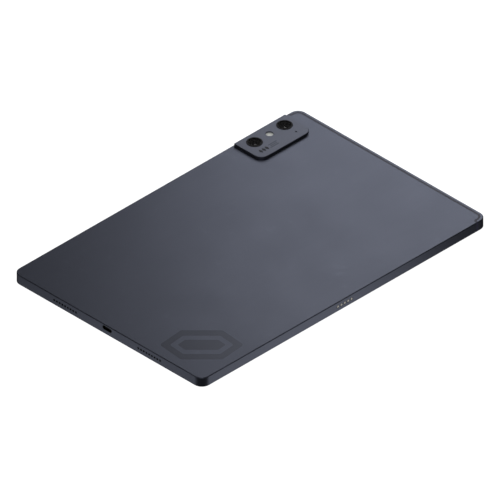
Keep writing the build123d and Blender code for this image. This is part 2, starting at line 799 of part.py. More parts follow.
front_camera_body_bottom = glass_thickness + fit_gap + front_camera_barrel_height
for number, x in enumerate(front_camera_x, start=1):
    with BuildPart() as front_camera:
        with BuildSketch(Plane.XY.offset(glass_thickness + fit_gap)):
            with Locations((x, front_camera_y)):
                Circle(front_camera_size / 2 - front_camera_barrel_inset)
        extrude(amount=front_camera_barrel_height)
        with BuildSketch(Plane.XY.offset(front_camera_body_bottom)):
            with Locations((x, front_camera_y)):
                RectangleRounded(front_camera_size, front_camera_size, front_camera_corner)
        extrude(amount=front_camera_top - front_camera_body_bottom)
        with BuildSketch(Plane.XY.offset(glass_thickness + fit_gap)):
            with Locations((x, front_camera_y)):
                Circle(front_camera_lens_radius)
        extrude(amount=front_camera_funnel_depth, taper=front_camera_funnel_angle, mode=Mode.SUBTRACT)
    front_camera.part.label = f"front_camera_{number}"
    export_step(front_camera.part, f"parts/front_camera_{number}.step")

with BuildPart() as light_sensor:
    with BuildSketch(Plane.XY.offset(glass_thickness + fit_gap)):
        with Locations((0, front_camera_y - light_sensor_shift)):
            RectangleRounded(light_sensor_length, light_sensor_width, light_sensor_corner)
    extrude(amount=light_sensor_height)
light_sensor.part.label = "light_sensor"
export_step(light_sensor.part, "parts/light_sensor.step")

# ================================================================ keys and their switches
with BuildPart() as power_key:
    with BuildSketch(into(camera_end, side_wall + fit_gap, side_hole_height)):
        with Locations((power_key_y, 0)):
            SlotOverall(power_key_length, key_height)
    extrude(amount=side_wall + fit_gap + key_proud)
    fillet(power_key.faces().sort_by(Axis.X)[-1].edges(), key_edge_radius)
    with BuildSketch(into(camera_end, side_wall + fit_gap, side_hole_height)):
        with Locations((power_key_y, 0)):
            RectangleRounded(
                power_key_length + 2 * key_flange_overhang, key_height - 2 * fit_gap, key_flange_corner
            )
    extrude(amount=-key_flange)
power_key.part.label = "power_key"
export_step(power_key.part, "parts/power_key.step")

with BuildPart() as power_switch:
    switch_face = side_wall + fit_gap + key_flange + power_key_travel + fit_gap
    with BuildSketch(into(camera_end, switch_face + switch_button_height, side_hole_height + switch_raise)):
        with Locations((power_key_y, 0)):
            RectangleRounded(switch_length, switch_height, switch_corner)
    extrude(amount=-switch_depth)
    with BuildSketch(into(camera_end, switch_face, side_hole_height)):
        with Locations((power_key_y, 0)):
            Circle(switch_button_radius)
    extrude(amount=-(switch_button_height + switch_button_root))
power_switch.part.label = "power_switch"
export_step(power_switch.part, "parts/power_switch.step")

with BuildPart() as volume_rocker:
    with BuildSketch(into(key_side, side_wall + rocker_slack, side_hole_height)):
        with Locations((-rocker_x, 0)):
            SlotOverall(rocker_length, key_height)
    extrude(amount=side_wall + rocker_slack + key_proud)
    fillet(volume_rocker.faces().sort_by(Axis.Y)[-1].edges(), key_edge_radius)
    with BuildSketch(into(key_side, side_wall + rocker_slack, side_hole_height)):
        with Locations((-rocker_x, 0)):
            RectangleRounded(
                rocker_length + 2 * key_flange_overhang, key_height - 2 * fit_gap, key_flange_corner
            )
    extrude(amount=-key_flange)
volume_rocker.part.label = "volume_rocker"
export_step(volume_rocker.part, "parts/volume_rocker.step")

with BuildPart() as volume_switches:
    rocker_switch_face = side_wall + rocker_slack + key_flange + rocker_slack
    rocker_switch_body = rocker_switch_face + switch_button_height
    with BuildSketch(into(key_side, rocker_switch_body, side_hole_height + switch_raise)):
        with Locations(
            (-rocker_x - rocker_switch_offset, 0),
            (-rocker_x + rocker_switch_offset, 0),
        ):
            RectangleRounded(switch_length, switch_height, switch_corner)
    extrude(amount=-switch_depth)
    with BuildSketch(into(key_side, rocker_switch_face, side_hole_height)):
        with Locations(
            (-rocker_x - rocker_switch_offset, 0),
            (-rocker_x + rocker_switch_offset, 0),
        ):
            Circle(switch_button_radius)
    extrude(amount=-(switch_button_height + switch_button_root))
volume_switches.part.label = "volume_switches"
export_step(volume_switches.part, "parts/volume_switches.step")

with BuildPart() as top_microphone:
    with BuildSketch(into(key_side, side_wall + fit_gap, side_hole_height + top_microphone_raise)):
        with Locations((-top_microphone_x, 0)):
            RectangleRounded(top_microphone_length, top_microphone_height, microphone_corner)
    extrude(amount=-top_microphone_depth)
top_microphone.part.label = "top_microphone"
export_step(top_microphone.part, "parts/top_microphone.step")

# ================================================================ card tray, reader and ejector
tray_body_y = tray_y + tray_shift
eject_y = tray_y - eject_offset
door_back = half_length - tray_door_depth
tray_end_x = door_back - tray_length
slide_front_x = tray_end_x - 2 * fit_gap
slide_back_x = slide_front_x - eject_slide_depth
lever_x = slide_back_x - lever_gap - eject_lever_width / 2
lever_pivot_y = eject_y + eject_lever_arm

with BuildPart() as card_tray:
    with BuildSketch(into(camera_end, tray_door_depth, tray_z)):
        with Locations((tray_y, 0)):
            RectangleRounded(tray_door_width, tray_door_height, tray_door_radius)
    extrude(amount=tray_door_depth)
    with BuildSketch(at_height(camera_end, tray_z)):
        with Locations((eject_y, 0)):
            Circle(eject_hole_radius)
    extrude(amount=-tray_door_depth, mode=Mode.SUBTRACT)
    with BuildSketch(Plane.XY.offset(tray_z - tray_thickness / 2)):
        with Locations((tray_end_x, tray_body_y)):
            Rectangle(tray_length, tray_width, align=(Align.MIN, Align.CENTER))
    extrude(amount=tray_thickness)
    with BuildSketch(Plane.XY.offset(tray_z - tray_thickness / 2)):
        with Locations((tray_end_x + card_margin, tray_body_y)):
            Rectangle(card_length, card_width, align=(Align.MIN, Align.CENTER))
    extrude(amount=tray_thickness - card_floor, mode=Mode.SUBTRACT)
card_tray.part.label = "card_tray"
export_step(card_tray.part, "parts/card_tray.step")

with BuildPart() as eject_rod:
    rod_front_x = door_back - 4 * fit_gap
    rod_back_x = lever_x + eject_lever_width / 2 + lever_gap
    with BuildSketch(Plane.XY.offset(tray_z - eject_rod_size / 2)):
        with Locations((rod_back_x, eject_y)):
            Rectangle(rod_front_x - rod_back_x, eject_rod_size, align=(Align.MIN, Align.CENTER))
    extrude(amount=eject_rod_size)
eject_rod.part.label = "eject_rod"
export_step(eject_rod.part, "parts/eject_rod.step")

with BuildPart() as eject_lever:
    with BuildSketch(Plane.XY.offset(tray_z - eject_lever_thickness / 2)):
        with Locations(Location((lever_x, lever_pivot_y, 0), 90)):
            SlotCenterToCenter(2 * eject_lever_arm, eject_lever_width)
        with Locations((lever_x, lever_pivot_y)):
            Circle(eject_pin_radius + eject_lever_eye)
            Circle(eject_pin_radius + eject_pin_gap, mode=Mode.SUBTRACT)
    extrude(amount=eject_lever_thickness)
eject_lever.part.label = "eject_lever"
export_step(eject_lever.part, "parts/eject_lever.step")

with BuildPart() as eject_slide:
    with BuildSketch(Plane.XY.offset(tray_z - eject_lever_thickness / 2)):
        with Locations((slide_front_x, tray_body_y + eject_slide_cut / 2)):
            Rectangle(eject_slide_depth, tray_width - eject_slide_cut, align=(Align.MAX, Align.CENTER))
    extrude(amount=eject_lever_thickness)
eject_slide.part.label = "eject_slide"
export_step(eject_slide.part, "parts/eject_slide.step")

reader_back_x = lever_x - reader_back_margin
reader_front_x = half_length - side_wall - reader_wall_gap
reader_length = reader_front_x - reader_back_x
reader_low_y = eject_y - reader_rod_margin
reader_high_y = tray_body_y + tray_width / 2 + reader_tray_margin
reader_width = reader_high_y - reader_low_y
middle_rail_x = tray_end_x + reader_rail_start
rail_bottom = tray_z - tray_thickness / 2 - fit_gap
reader_base_bottom = tray_z + tray_thickness / 2 + 2 * fit_gap
with BuildPart() as card_reader:
    with BuildSketch(Plane.XY.offset(reader_base_bottom)):
        with Locations((reader_back_x, reader_low_y)):
            Rectangle(reader_length, reader_width, align=(Align.MIN, Align.MIN))
    extrude(amount=board_bottom - can_gap - reader_base_bottom)
    # side rails, the rail between rod and tray, and the lever's pin
    with BuildSketch(Plane.XY.offset(rail_bottom)):
        with Locations((reader_back_x, reader_low_y), (reader_back_x, reader_high_y - reader_rail_width)):
            Rectangle(reader_length, reader_rail_width, align=(Align.MIN, Align.MIN))
        with Locations((middle_rail_x, tray_body_y - tray_width / 2 - reader_rail_gap)):
            Rectangle(reader_front_x - middle_rail_x, reader_rail_width, align=(Align.MIN, Align.MAX))
        with Locations((lever_x, lever_pivot_y)):
            Circle(eject_pin_radius)
    extrude(amount=reader_base_bottom - rail_bottom)
card_reader.part.label = "card_reader"
export_step(card_reader.part, "parts/card_reader.step")

with BuildPart() as reader_cover:
    with BuildSketch(Plane.XY.offset(rail_bottom - fit_gap)):
        with Locations((reader_back_x, reader_low_y)):
            Rectangle(reader_length, reader_width, align=(Align.MIN, Align.MIN))
    extrude(amount=-reader_cover_thickness)
reader_cover.part.label = "reader_cover"
export_step(reader_cover.part, "parts/reader_cover.step")

# ================================================================ USB-C port and sub-board
with BuildPart() as usb_c_shell:
    with BuildSketch(into(port_end, port_mouth, port_height)):
        SlotOverall(port_width, port_depth_height)
    extrude(amount=-port_shell_depth)
    with BuildSketch(into(port_end, port_mouth, port_height)):
        SlotOverall(port_width - 2 * port_shell_wall, port_depth_height - 2 * port_shell_wall)
    extrude(amount=-(port_shell_depth - port_shell_back), mode=Mode.SUBTRACT)
usb_c_shell.part.label = "usb_c_shell"
export_step(usb_c_shell.part, "parts/usb_c_shell.step")

with BuildPart() as usb_c_tongue:
    with BuildSketch(into(port_end, port_mouth + port_tongue_setback, port_height)):
        RectangleRounded(port_tongue_width, port_tongue_thickness, port_tongue_corner)
    extrude(amount=-(port_shell_depth - port_shell_back - port_tongue_setback))
usb_c_tongue.part.label = "usb_c_tongue"
export_step(usb_c_tongue.part, "parts/usb_c_tongue.step")

with BuildPart() as sub_board:
    with BuildSketch(Plane.XY.offset(board_bottom)):
        with Locations((sub_board_x, 0)):
            RectangleRounded(sub_board_depth, sub_board_width, sub_board_corner)
        with Locations((-half_length + sub_board_end, 0)):
            Rectangle(
                port_shell_depth - sub_board_end + port_mouth + port_notch_gap,
                port_width + 2 * port_notch_side_gap,
                align=(Align.MIN, Align.CENTER),
                mode=Mode.SUBTRACT,
            )
        with Locations(*[(sub_board_x, side * sub_board_screw_offset) for side in (-1, 1)]):
            Circle(screw_radius + fit_gap, mode=Mode.SUBTRACT)
    extrude(amount=board_thickness)
sub_board.part.label = "sub_board"
export_step(sub_board.part, "parts/sub_board.step")

# ================================================================ dock contacts and magnets
holder_length = contact_pitch * contact_count + contact_holder_margin
with BuildPart() as contact_holder:
    with BuildSketch(into(dock_side, side_wall + fit_gap, side_hole_height + contact_holder_raise)):
        RectangleRounded(holder_length, contact_holder_height, contact_holder_corner)
    extrude(amount=-contact_holder_depth)
    with BuildSketch(into(dock_side, side_wall + fit_gap, side_hole_height)):
        with GridLocations(contact_pitch, 1, contact_count, 1):
            Circle(contact_boss_radius)
    extrude(amount=side_wall + fit_gap)
    with BuildSketch(at_height(dock_side, side_hole_height)):
        with GridLocations(contact_pitch, 1, contact_count, 1):
            Circle(contact_radius)
    extrude(amount=-side_wall, mode=Mode.SUBTRACT)
    with BuildSketch(into(dock_side, side_wall, side_hole_height)):
        with GridLocations(contact_pitch, 1, contact_count, 1):
            Circle(contact_tail_radius)
    extrude(amount=-contact_tail_length, mode=Mode.SUBTRACT)
contact_holder.part.label = "contact_holder"
export_step(contact_holder.part, "parts/contact_holder.step")

with BuildPart() as dock_contacts:
    with BuildSketch(at_height(dock_side, side_hole_height)):
        with GridLocations(contact_pitch, 1, contact_count, 1):
            Circle(contact_radius)
    extrude(amount=-side_wall)
    with BuildSketch(into(dock_side, side_wall, side_hole_height)):
        with GridLocations(contact_pitch, 1, contact_count, 1):
            Circle(contact_tail_radius)
    extrude(amount=-contact_tail_length)
dock_contacts.part.label = "dock_contacts"
export_step(dock_contacts.part, "parts/dock_contacts.step")

with BuildPart() as dock_magnets:
    with BuildSketch(into(dock_side, side_wall + 2 * fit_gap, side_hole_height + magnet_raise)):
        with GridLocations(magnet_pitch, 1, magnet_count, 1):
            RectangleRounded(magnet_length, magnet_height, magnet_corner)
    extrude(amount=-magnet_depth)
dock_magnets.part.label = "dock_magnets"
export_step(dock_magnets.part, "parts/dock_magnets.step")

# ================================================================ speakers
speaker_outer_x = half_length - side_wall - speaker_wall_gap
speaker_places = [(end, side) for end in (-1, 1) for side in (-1, 1)]
for number, (end, side) in enumerate(speaker_places, start=1):
    with BuildPart() as speaker:
        with BuildSketch(Plane.XY.offset(speaker_box_bottom)):
            with Locations((end * (speaker_outer_x - speaker_box_depth / 2), side * speaker_offset)):
                RectangleRounded(speaker_box_depth, speaker_box_width, speaker_box_corner)
        extrude(amount=speaker_box_height)
        # diaphragm side, recessed towards the screen
        with BuildSketch(Plane.XY.offset(speaker_box_bottom)):
            with Locations((end * (speaker_outer_x - speaker_box_depth / 2), side * speaker_offset)):
                RectangleRounded(diaphragm_width, diaphragm_length, diaphragm_corner)
        extrude(amount=diaphragm_recess, mode=Mode.SUBTRACT)
    speaker.part.label = f"speaker_{number}"
    export_step(speaker.part, f"parts/speaker_{number}.step")

with BuildPart() as speaker_meshes:
    mesh_length = speaker_hole_pitch * speaker_hole_count + speaker_mesh_margin
    for end, side in speaker_places:
        with BuildSketch(Plane.XY.offset(mid_frame_top + fit_gap)):
            with Locations((end * (half_length - side_wall - fit_gap), side * speaker_offset)):
                Rectangle(
                    speaker_mesh_thickness,
                    mesh_length,
                    align=(Align.MAX if end > 0 else Align.MIN, Align.CENTER),
                )
        extrude(amount=speaker_mesh_height)
speaker_meshes.part.label = "speaker_meshes"
export_step(speaker_meshes.part, "parts/speaker_meshes.step")

# ================================================================ battery
cell_centres = [
    battery_end_x - battery_cell_length / 2,
    battery_end_x - battery_cell_length * 1.5 - battery_gap,
]
for number, x in enumerate(cell_centres, start=1):
    with BuildPart() as battery_cell:
        with BuildSketch(Plane.XY.offset(battery_bottom)):
            with Locations((x, 0)):
                RectangleRounded(battery_cell_length, battery_cell_width, battery_corner)
        extrude(amount=battery_thickness)
        fillet(battery_cell.faces().sort_by(Axis.Z)[0].edges(), battery_edge_radius)
    battery_cell.part.label = f"battery_cell_{number}"
    export_step(battery_cell.part, f"parts/battery_cell_{number}.step")

with BuildPart() as battery_board:
    with BuildSketch(Plane.XY.offset(board_bottom)):
        with Locations((battery_end_x + battery_board_gap, 0)):
            Rectangle(battery_board_width, battery_board_length, align=(Align.MIN, Align.CENTER))
    extrude(amount=battery_board_thickness)
battery_board.part.label = "battery_board"
export_step(battery_board.part, "parts/battery_board.step")

# ================================================================ main board, cans and flexes
with BuildPart() as main_board:
    with BuildSketch(Plane.XY.offset(board_bottom)) as main_outline:
        with BuildLine():
            Polyline(
                (main_board_x, main_board_bottom_y),
                (main_board_foot_x, main_board_bottom_y),
                (main_board_foot_x, main_board_foot_y),
                (main_board_end, main_board_foot_y),
                (main_board_end, main_board_top),
                (main_board_x, main_board_top),
                close=True,
            )
        make_face()
        fillet(main_outline.vertices(), board_corner)
        with Locations(*board_screw_spots):
            Circle(screw_radius + fit_gap, mode=Mode.SUBTRACT)
    extrude(amount=board_thickness)
main_board.part.label = "main_board"
export_step(main_board.part, "parts/main_board.step")

# the cans stand on the board's screen side, open towards the board: centre, then size
can_height = board_bottom - can_gap - can_bottom
shield_cans = (
    ((main_board_x + 18.0, main_board_top - 30.0), (26.0, 44.0)),
    ((main_board_x + 18.0, main_board_top - 84.0), (26.0, 48.0)),
    ((main_board_x + 41.5, main_board_top - 52.0), (15.0, 70.0)),
)
for number, (centre, size) in enumerate(shield_cans, start=1):
    with BuildPart() as shield_can:
        with BuildSketch(Plane.XY.offset(can_bottom)):
            with Locations(centre):
                RectangleRounded(*size, can_corner)
        extrude(amount=can_height)
        with BuildSketch(Plane.XY.offset(can_bottom + can_sheet)):
            with Locations(centre):
                RectangleRounded(
                    size[0] - 2 * can_sheet, size[1] - 2 * can_sheet, can_corner - can_sheet
                )
        extrude(amount=can_height - can_sheet, mode=Mode.SUBTRACT)
    shield_can.part.label = f"shield_can_{number}"
    export_step(shield_can.part, f"parts/shield_can_{number}.step")

with BuildPart() as heat_spreader:
    with BuildSketch(Plane.XY.offset(mid_frame_top + can_gap)):
        with Locations((heat_spreader_x, heat_spreader_y)):
            RectangleRounded(heat_spreader_width, heat_spreader_length, heat_spreader_corner)
    extrude(amount=heat_spreader_thickness)
heat_spreader.part.label = "heat_spreader"
export_step(heat_spreader.part, "parts/heat_spreader.step")

flex_top = board_bottom - fit_gap
channel_x = battery_start_x - channel_gap
flex_lane_y = -battery_cell_width / 2 - flex_lane_gap
flex_end_x = main_board_x + flex_landing
sub_flex_x = sub_board_x + sub_flex_landing
sub_flex_y = -sub_board_width / 2 + sub_flex_rise
with BuildPart() as interconnect_flex:
    with BuildSketch(Plane.XY.offset(flex_top)) as flex_outline:
        with BuildLine():
            Polyline(
                (sub_flex_x, sub_flex_y + sub_flex_width),
                (channel_x + flex_channel_half, sub_flex_y + sub_flex_width),
                (channel_x + flex_channel_half, flex_lane_y + flex_lane),
                (flex_end_x, flex_lane_y + flex_lane),
                (flex_end_x, flex_lane_y - flex_lane),
                (channel_x - flex_channel_half, flex_lane_y - flex_lane),
                (channel_x - flex_channel_half, sub_flex_y),
                (sub_flex_x, sub_flex_y),
                close=True,
            )
        make_face()
        fillet(flex_outline.vertices(), flex_corner)
    extrude(amount=-flex_thickness)
interconnect_flex.part.label = "interconnect_flex"
export_step(interconnect_flex.part, "parts/interconnect_flex.step")

display_back = backlight_bottom + backlight_thickness
with BuildPart() as display_flex:
    screen_end, screen_bend, board_bend, board_end = [display_window[1] + step for step in display_flex_steps]
    screen_level = display_back + fit_gap + flex_thickness / 2
    board_level = flex_top - flex_thickness / 2
    with BuildSketch(Plane.YZ.offset(display_window[0])):
        with BuildLine() as flex_route:
            FilletPolyline(
                (screen_end, screen_level),
                (screen_bend, screen_level),
                (board_bend, board_level),
                (board_end, board_level),
                radius=flex_corner,
            )
        trace(flex_route.line, line_width=flex_thickness)
    extrude(amount=display_flex_half, both=True)
display_flex.part.label = "display_flex"
export_step(display_flex.part, "parts/display_flex.step")

with BuildPart() as camera_flexes:
    with BuildSketch(Plane.XY.offset(flex_top)):
        with Locations(*[(x, lens_y - camera_base / 2 - fit_gap) for x in lens_x]):
            Rectangle(camera_flex_width, camera_flex_length, align=(Align.CENTER, Align.MAX))
    extrude(amount=-flex_thickness)
camera_flexes.part.label = "camera_flexes"
export_step(camera_flexes.part, "parts/camera_flexes.step")

# ================================================================ antenna cable
cable_end_x = main_board_x + coax_landing
cable_lane_y = battery_cell_width / 2 + coax_lane_gap
cable_z = board_top + coax_radius
cable_start = (sub_board_x + coax_start, coax_start_y, cable_z)
with BuildPart() as antenna_cable:
    with BuildLine():
        FilletPolyline(
            cable_start,
            (channel_x, coax_start_y, cable_z),
            (channel_x, cable_lane_y, cable_z),
            (cable_end_x, cable_lane_y, cable_z),
            (cable_end_x, main_board_top - coax_end_drop, cable_z),
            radius=coax_bend,
        )
    with BuildSketch(Plane(origin=cable_start, z_dir=(1, 0, 0))):
        Circle(coax_radius)
    sweep()
antenna_cable.part.label = "antenna_cable"
export_step(antenna_cable.part, "parts/antenna_cable.step")

# ================================================================ screws
with BuildPart() as chassis_screws:
    with BuildSketch(Plane.XY.offset(mid_frame_bottom)):
        with Locations(*chassis_screw_spots):
            Circle(screw_radius)
    extrude(amount=chassis_screw_length)
    with BuildSketch(Plane.XY.offset(mid_frame_bottom)):
        with Locations(*chassis_screw_spots):
            Circle(screw_head_radius)
    extrude(amount=-screw_head_height)
    with BuildSketch(Plane.XY.offset(mid_frame_bottom - screw_head_height)):
        with Locations(*chassis_screw_spots):
            RegularPolygon(screw_drive_radius, 6)
    extrude(amount=screw_drive_depth, mode=Mode.SUBTRACT)
chassis_screws.part.label = "chassis_screws"
export_step(chassis_screws.part, "parts/chassis_screws.step")

with BuildPart() as board_screws:
    with BuildSketch(Plane.XY.offset(board_bottom)):
        with Locations(*board_spots):
            Circle(screw_radius)
    extrude(amount=board_screw_length)
    with BuildSketch(Plane.XY.offset(board_bottom)):
        with Locations(*board_spots):
            Circle(screw_head_radius)
    extrude(amount=-screw_head_height)
    with BuildSketch(Plane.XY.offset(board_bottom - screw_head_height)):
        with Locations(*board_spots):
            RegularPolygon(screw_drive_radius, 6)
    extrude(amount=screw_drive_depth, mode=Mode.SUBTRACT)
board_screws.part.label = "board_screws"
export_step(board_screws.part, "parts/board_screws.step")
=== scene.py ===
"""Looks of a tablet computer lying on its screen: anodised back, camera island, ports and keys."""

import math

import bmesh
import bpy
from mathutils import Matrix, Vector


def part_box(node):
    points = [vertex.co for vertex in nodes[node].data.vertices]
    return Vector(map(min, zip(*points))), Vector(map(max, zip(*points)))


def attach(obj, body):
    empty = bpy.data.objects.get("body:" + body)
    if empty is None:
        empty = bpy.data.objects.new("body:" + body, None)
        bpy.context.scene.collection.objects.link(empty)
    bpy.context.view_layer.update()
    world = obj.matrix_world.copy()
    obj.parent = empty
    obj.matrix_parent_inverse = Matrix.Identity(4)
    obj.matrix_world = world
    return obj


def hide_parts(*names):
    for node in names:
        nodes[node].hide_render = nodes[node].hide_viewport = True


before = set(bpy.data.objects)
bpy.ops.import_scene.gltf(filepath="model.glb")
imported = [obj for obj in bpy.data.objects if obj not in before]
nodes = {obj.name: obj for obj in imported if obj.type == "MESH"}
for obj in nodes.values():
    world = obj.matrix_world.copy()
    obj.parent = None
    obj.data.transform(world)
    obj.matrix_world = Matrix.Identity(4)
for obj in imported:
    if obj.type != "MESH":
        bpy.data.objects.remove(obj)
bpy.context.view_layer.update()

mm = 0.001

body_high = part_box("rear_housing")[1]
half_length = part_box("antenna_end_cap")[1].x
half_width = body_high.y
back_height = body_high.z
island_low, island_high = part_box("camera_island")


# ---------------------------------------------------------------- shader maths
class Value:
    """A shader socket that can be added, multiplied and compared like a number."""

    def __init__(self, tree, socket):
        self.tree = tree
        self.socket = socket

    def math(self, operation, *others, first=None):
        inputs = [self if first is None else first, *others]
        return self.tree.node("ShaderNodeMath", {"operation": operation}, dict(enumerate(inputs)))

    def __add__(self, other):
        return self.math("ADD", other)

    def __sub__(self, other):
        return self.math("SUBTRACT", other)

    def __mul__(self, other):
        return self.math("MULTIPLY", other)

    def __rsub__(self, other):
        return self.math("SUBTRACT", self, first=other)

    def __abs__(self):
        return self.math("ABSOLUTE")

    __radd__ = __add__
    __rmul__ = __mul__

    def sine(self):
        return self.math("SINE")

    def root(self):
        return self.math("SQRT")

    def least(self, other):
        return self.math("MINIMUM", other)

    def most(self, other):
        return self.math("MAXIMUM", other)

    def ramp(self, low, high):
        """0 below low and 1 above high, smooth between them."""
        settings = {"interpolation_type": "SMOOTHSTEP"}
        inputs = {"Value": self, "From Min": low, "From Max": high}
        return self.tree.node("ShaderNodeMapRange", settings, inputs)


class Finish:
    """A material under construction, with one method for every node that isn't maths."""

    def __init__(self, name):
        self.material = bpy.data.materials.new(name)
        self.material.use_nodes = True
        self.nodes = self.material.node_tree.nodes
        self.links = self.material.node_tree.links
        self.nodes.clear()

    def node(self, kind, settings=None, inputs=None, out=0):
        made = self.nodes.new(kind)
        for name, value in (settings or {}).items():
            setattr(made, name, value)
        for name, value in (inputs or {}).items():
            if isinstance(value, Value):
                self.links.new(value.socket, made.inputs[name])
            else:
                made.inputs[name].default_value = value
        return Value(self, made.outputs[out])

    def place(self, shift=(0, 0, 0), stretch=(1, 1, 1)):
        """Object coordinates in metres, stretched and then moved by shift."""
        here = self.node("ShaderNodeTexCoord", out="Object")
        inputs = {"Vector": here, "Location": shift, "Scale": stretch}
        return self.node("ShaderNodeMapping", {}, inputs)

    def axes(self, vector):
        made = self.nodes.new("ShaderNodeSeparateXYZ")
        self.links.new(vector.socket, made.inputs[0])
        return [Value(self, output) for output in made.outputs]

    def noise(self, size, detail=3.0, where=None, roughness=0.5):
        """Noise whose features are about size metres across."""
        where = where or self.place()
        inputs = {"Vector": where, "Scale": 1 / size, "Detail": detail, "Roughness": roughness}
        return self.node("ShaderNodeTexNoise", {}, inputs)

    def cells(self, size, where=None, feature="F1"):
        where = where or self.place()
        inputs = {"Vector": where, "Scale": 1 / size}
        return self.node("ShaderNodeTexVoronoi", {"feature": feature}, inputs)

    def mix(self, share, first, second):
        """A colour between first and second."""
        made = self.nodes.new("ShaderNodeMix")
        made.data_type = "RGBA"
        for name, value in (("Factor", share), ("A", first), ("B", second)):
            socket = [s for s in made.inputs if s.name == name and s.enabled][0]
            if isinstance(value, Value):
                self.links.new(value.socket, socket)
            else:
                socket.default_value = value if name == "Factor" else (*value, 1.0)
        return Value(self, [s for s in made.outputs if s.enabled][0])

    def bump(self, height, strength, depth, under=None):
        inputs = {"Height": height, "Strength": strength, "Distance": depth}
        if under is not None:
            inputs["Normal"] = under
        return self.node("ShaderNodeBump", {}, inputs)

    def surface(self, **inputs):
        """The shader itself. Plain colours get a fourth value here."""
        ready = {}
        for name, value in inputs.items():
            name = name.replace("_", " ")
            if isinstance(value, tuple) and len(value) == 3:
                value = (*value, 1.0)
            ready[name] = value
        shader = self.node("ShaderNodeBsdfPrincipled", {}, ready)
        output = self.nodes.new("ShaderNodeOutputMaterial")
        self.links.new(shader.socket, output.inputs[0])
        return self.material


def grey(level, tint=(1.0, 1.0, 1.0)):
    return tuple(level * t for t in tint)


SLATE = (0.122, 0.133, 0.175)


# ---------------------------------------------------------------- finishes
def anodised(name, colour, metallic=0.93, roughness=0.43, grain=0.16):
    """Bead-blasted and anodised aluminium: a fine grain, faint clouding and handling marks."""
    f = Finish(name)
    blast = f.noise(0.00022, detail=2.0)
    cloud = f.noise(0.035, detail=4.0)
    streak = f.noise(0.006, detail=3.0, where=f.place(stretch=(0.25, 1.0, 1.0)))
    rub = f.noise(0.012, detail=5.0, roughness=0.62).ramp(0.60, 0.78)
    dark = grey(1 - grain, colour)
    light = grey(1 + grain, colour)
    tone = f.mix(blast * 0.55 + cloud * 0.30 + streak * 0.15, dark, light)
    worn = f.mix(rub * 0.10, tone, grey(1.22, colour))
    rough = (blast - 0.5) * 0.10 + (cloud - 0.5) * 0.09 + roughness - rub * 0.05
    texture = f.bump(blast, 0.16, 0.00004)
    soft = f.bump(cloud, 0.04, 0.0004, under=texture)
    return f.surface(
        Base_Color=worn, Metallic=metallic, Roughness=rough, Normal=soft, Specular_IOR_Level=0.45
    )


def moulded(name, colour, roughness=0.5, size=0.00025, depth=0.00003, spread=0.12, coat=0.0, shine=0.5):
    """Injection-moulded plastic with a spark-eroded grain and slight flow clouding."""
    f = Finish(name)
    grain = f.cells(size)
    flow = f.noise(0.009, detail=4.0)
    tone = f.mix(grain * 0.5 + flow * 0.5, grey(1 - spread, colour), grey(1 + spread, colour))
    rough = (flow - 0.5) * 0.16 + (grain - 0.5) * 0.08 + roughness
    return f.surface(
        Base_Color=tone,
        Roughness=rough,
        Normal=f.bump(grain, 0.35, depth),
        Coat_Weight=coat,
        Metallic=0.0,
        Specular_IOR_Level=shine,
    )


def brushed(name, colour, roughness=0.32, along=(1.0, 18.0, 18.0), metallic=1.0, size=0.0012):
    """Rolled or drawn metal, with fine lines along one direction and a little tarnish."""
    f = Finish(name)
    lines = f.noise(size, detail=4.0, where=f.place(stretch=along))
    stain = f.noise(0.007, detail=5.0)
    tone = f.mix(lines * 0.6 + stain * 0.4, grey(0.82, colour), grey(1.14, colour))
    rough = (lines - 0.5) * 0.22 + (stain - 0.5) * 0.14 + roughness
    texture = f.bump(lines, 0.3, 0.00002)
    return f.surface(Base_Color=tone, Metallic=metallic, Roughness=rough, Normal=texture)


def turned(name, colour, centres, roughness=0.40, groove=0.00018, metallic=1.0):
    """Lathe-turned metal: fine rings round whichever centre is nearest."""
    f = Finish(name)
    radius = None
    for x, y in centres:
        east, north, _ = f.axes(f.place(shift=(-x, -y, 0)))
        away = (east * east + north * north).root()
        radius = away if radius is None else radius.least(away)
    rings = (radius * (2 * math.pi / groove)).sine() * 0.5 + 0.5
    dust = f.noise(0.0016, detail=4.0)
    tone = f.mix(rings * 0.35 + dust * 0.65, grey(0.75, colour), grey(1.35, colour))
    rough = (dust - 0.5) * 0.14 + rings * 0.05 + roughness
    texture = f.bump(rings, 0.25, 0.00001)
    return f.surface(Base_Color=tone, Metallic=metallic, Roughness=rough, Normal=texture)


def optical(name, tint, alpha, shine, coat=0.0, roughness=0.03):
    """Anti-reflection coated lens glass, with a faint coating tint that shifts over the piece."""
    f = Finish(name)
    drift = f.noise(0.004, detail=2.0)
    haze = f.noise(0.003, detail=2.0)
    tone = f.mix(drift, grey(0.6, tint), grey(1.6, tint))
    rough = haze * 0.03 + roughness
    return f.surface(
        Base_Color=tone,
        Roughness=rough,
        Alpha=haze * 0.04 + alpha,
        Coat_Weight=coat,
        Coat_Roughness=0.02,
        Specular_IOR_Level=shine,
    )


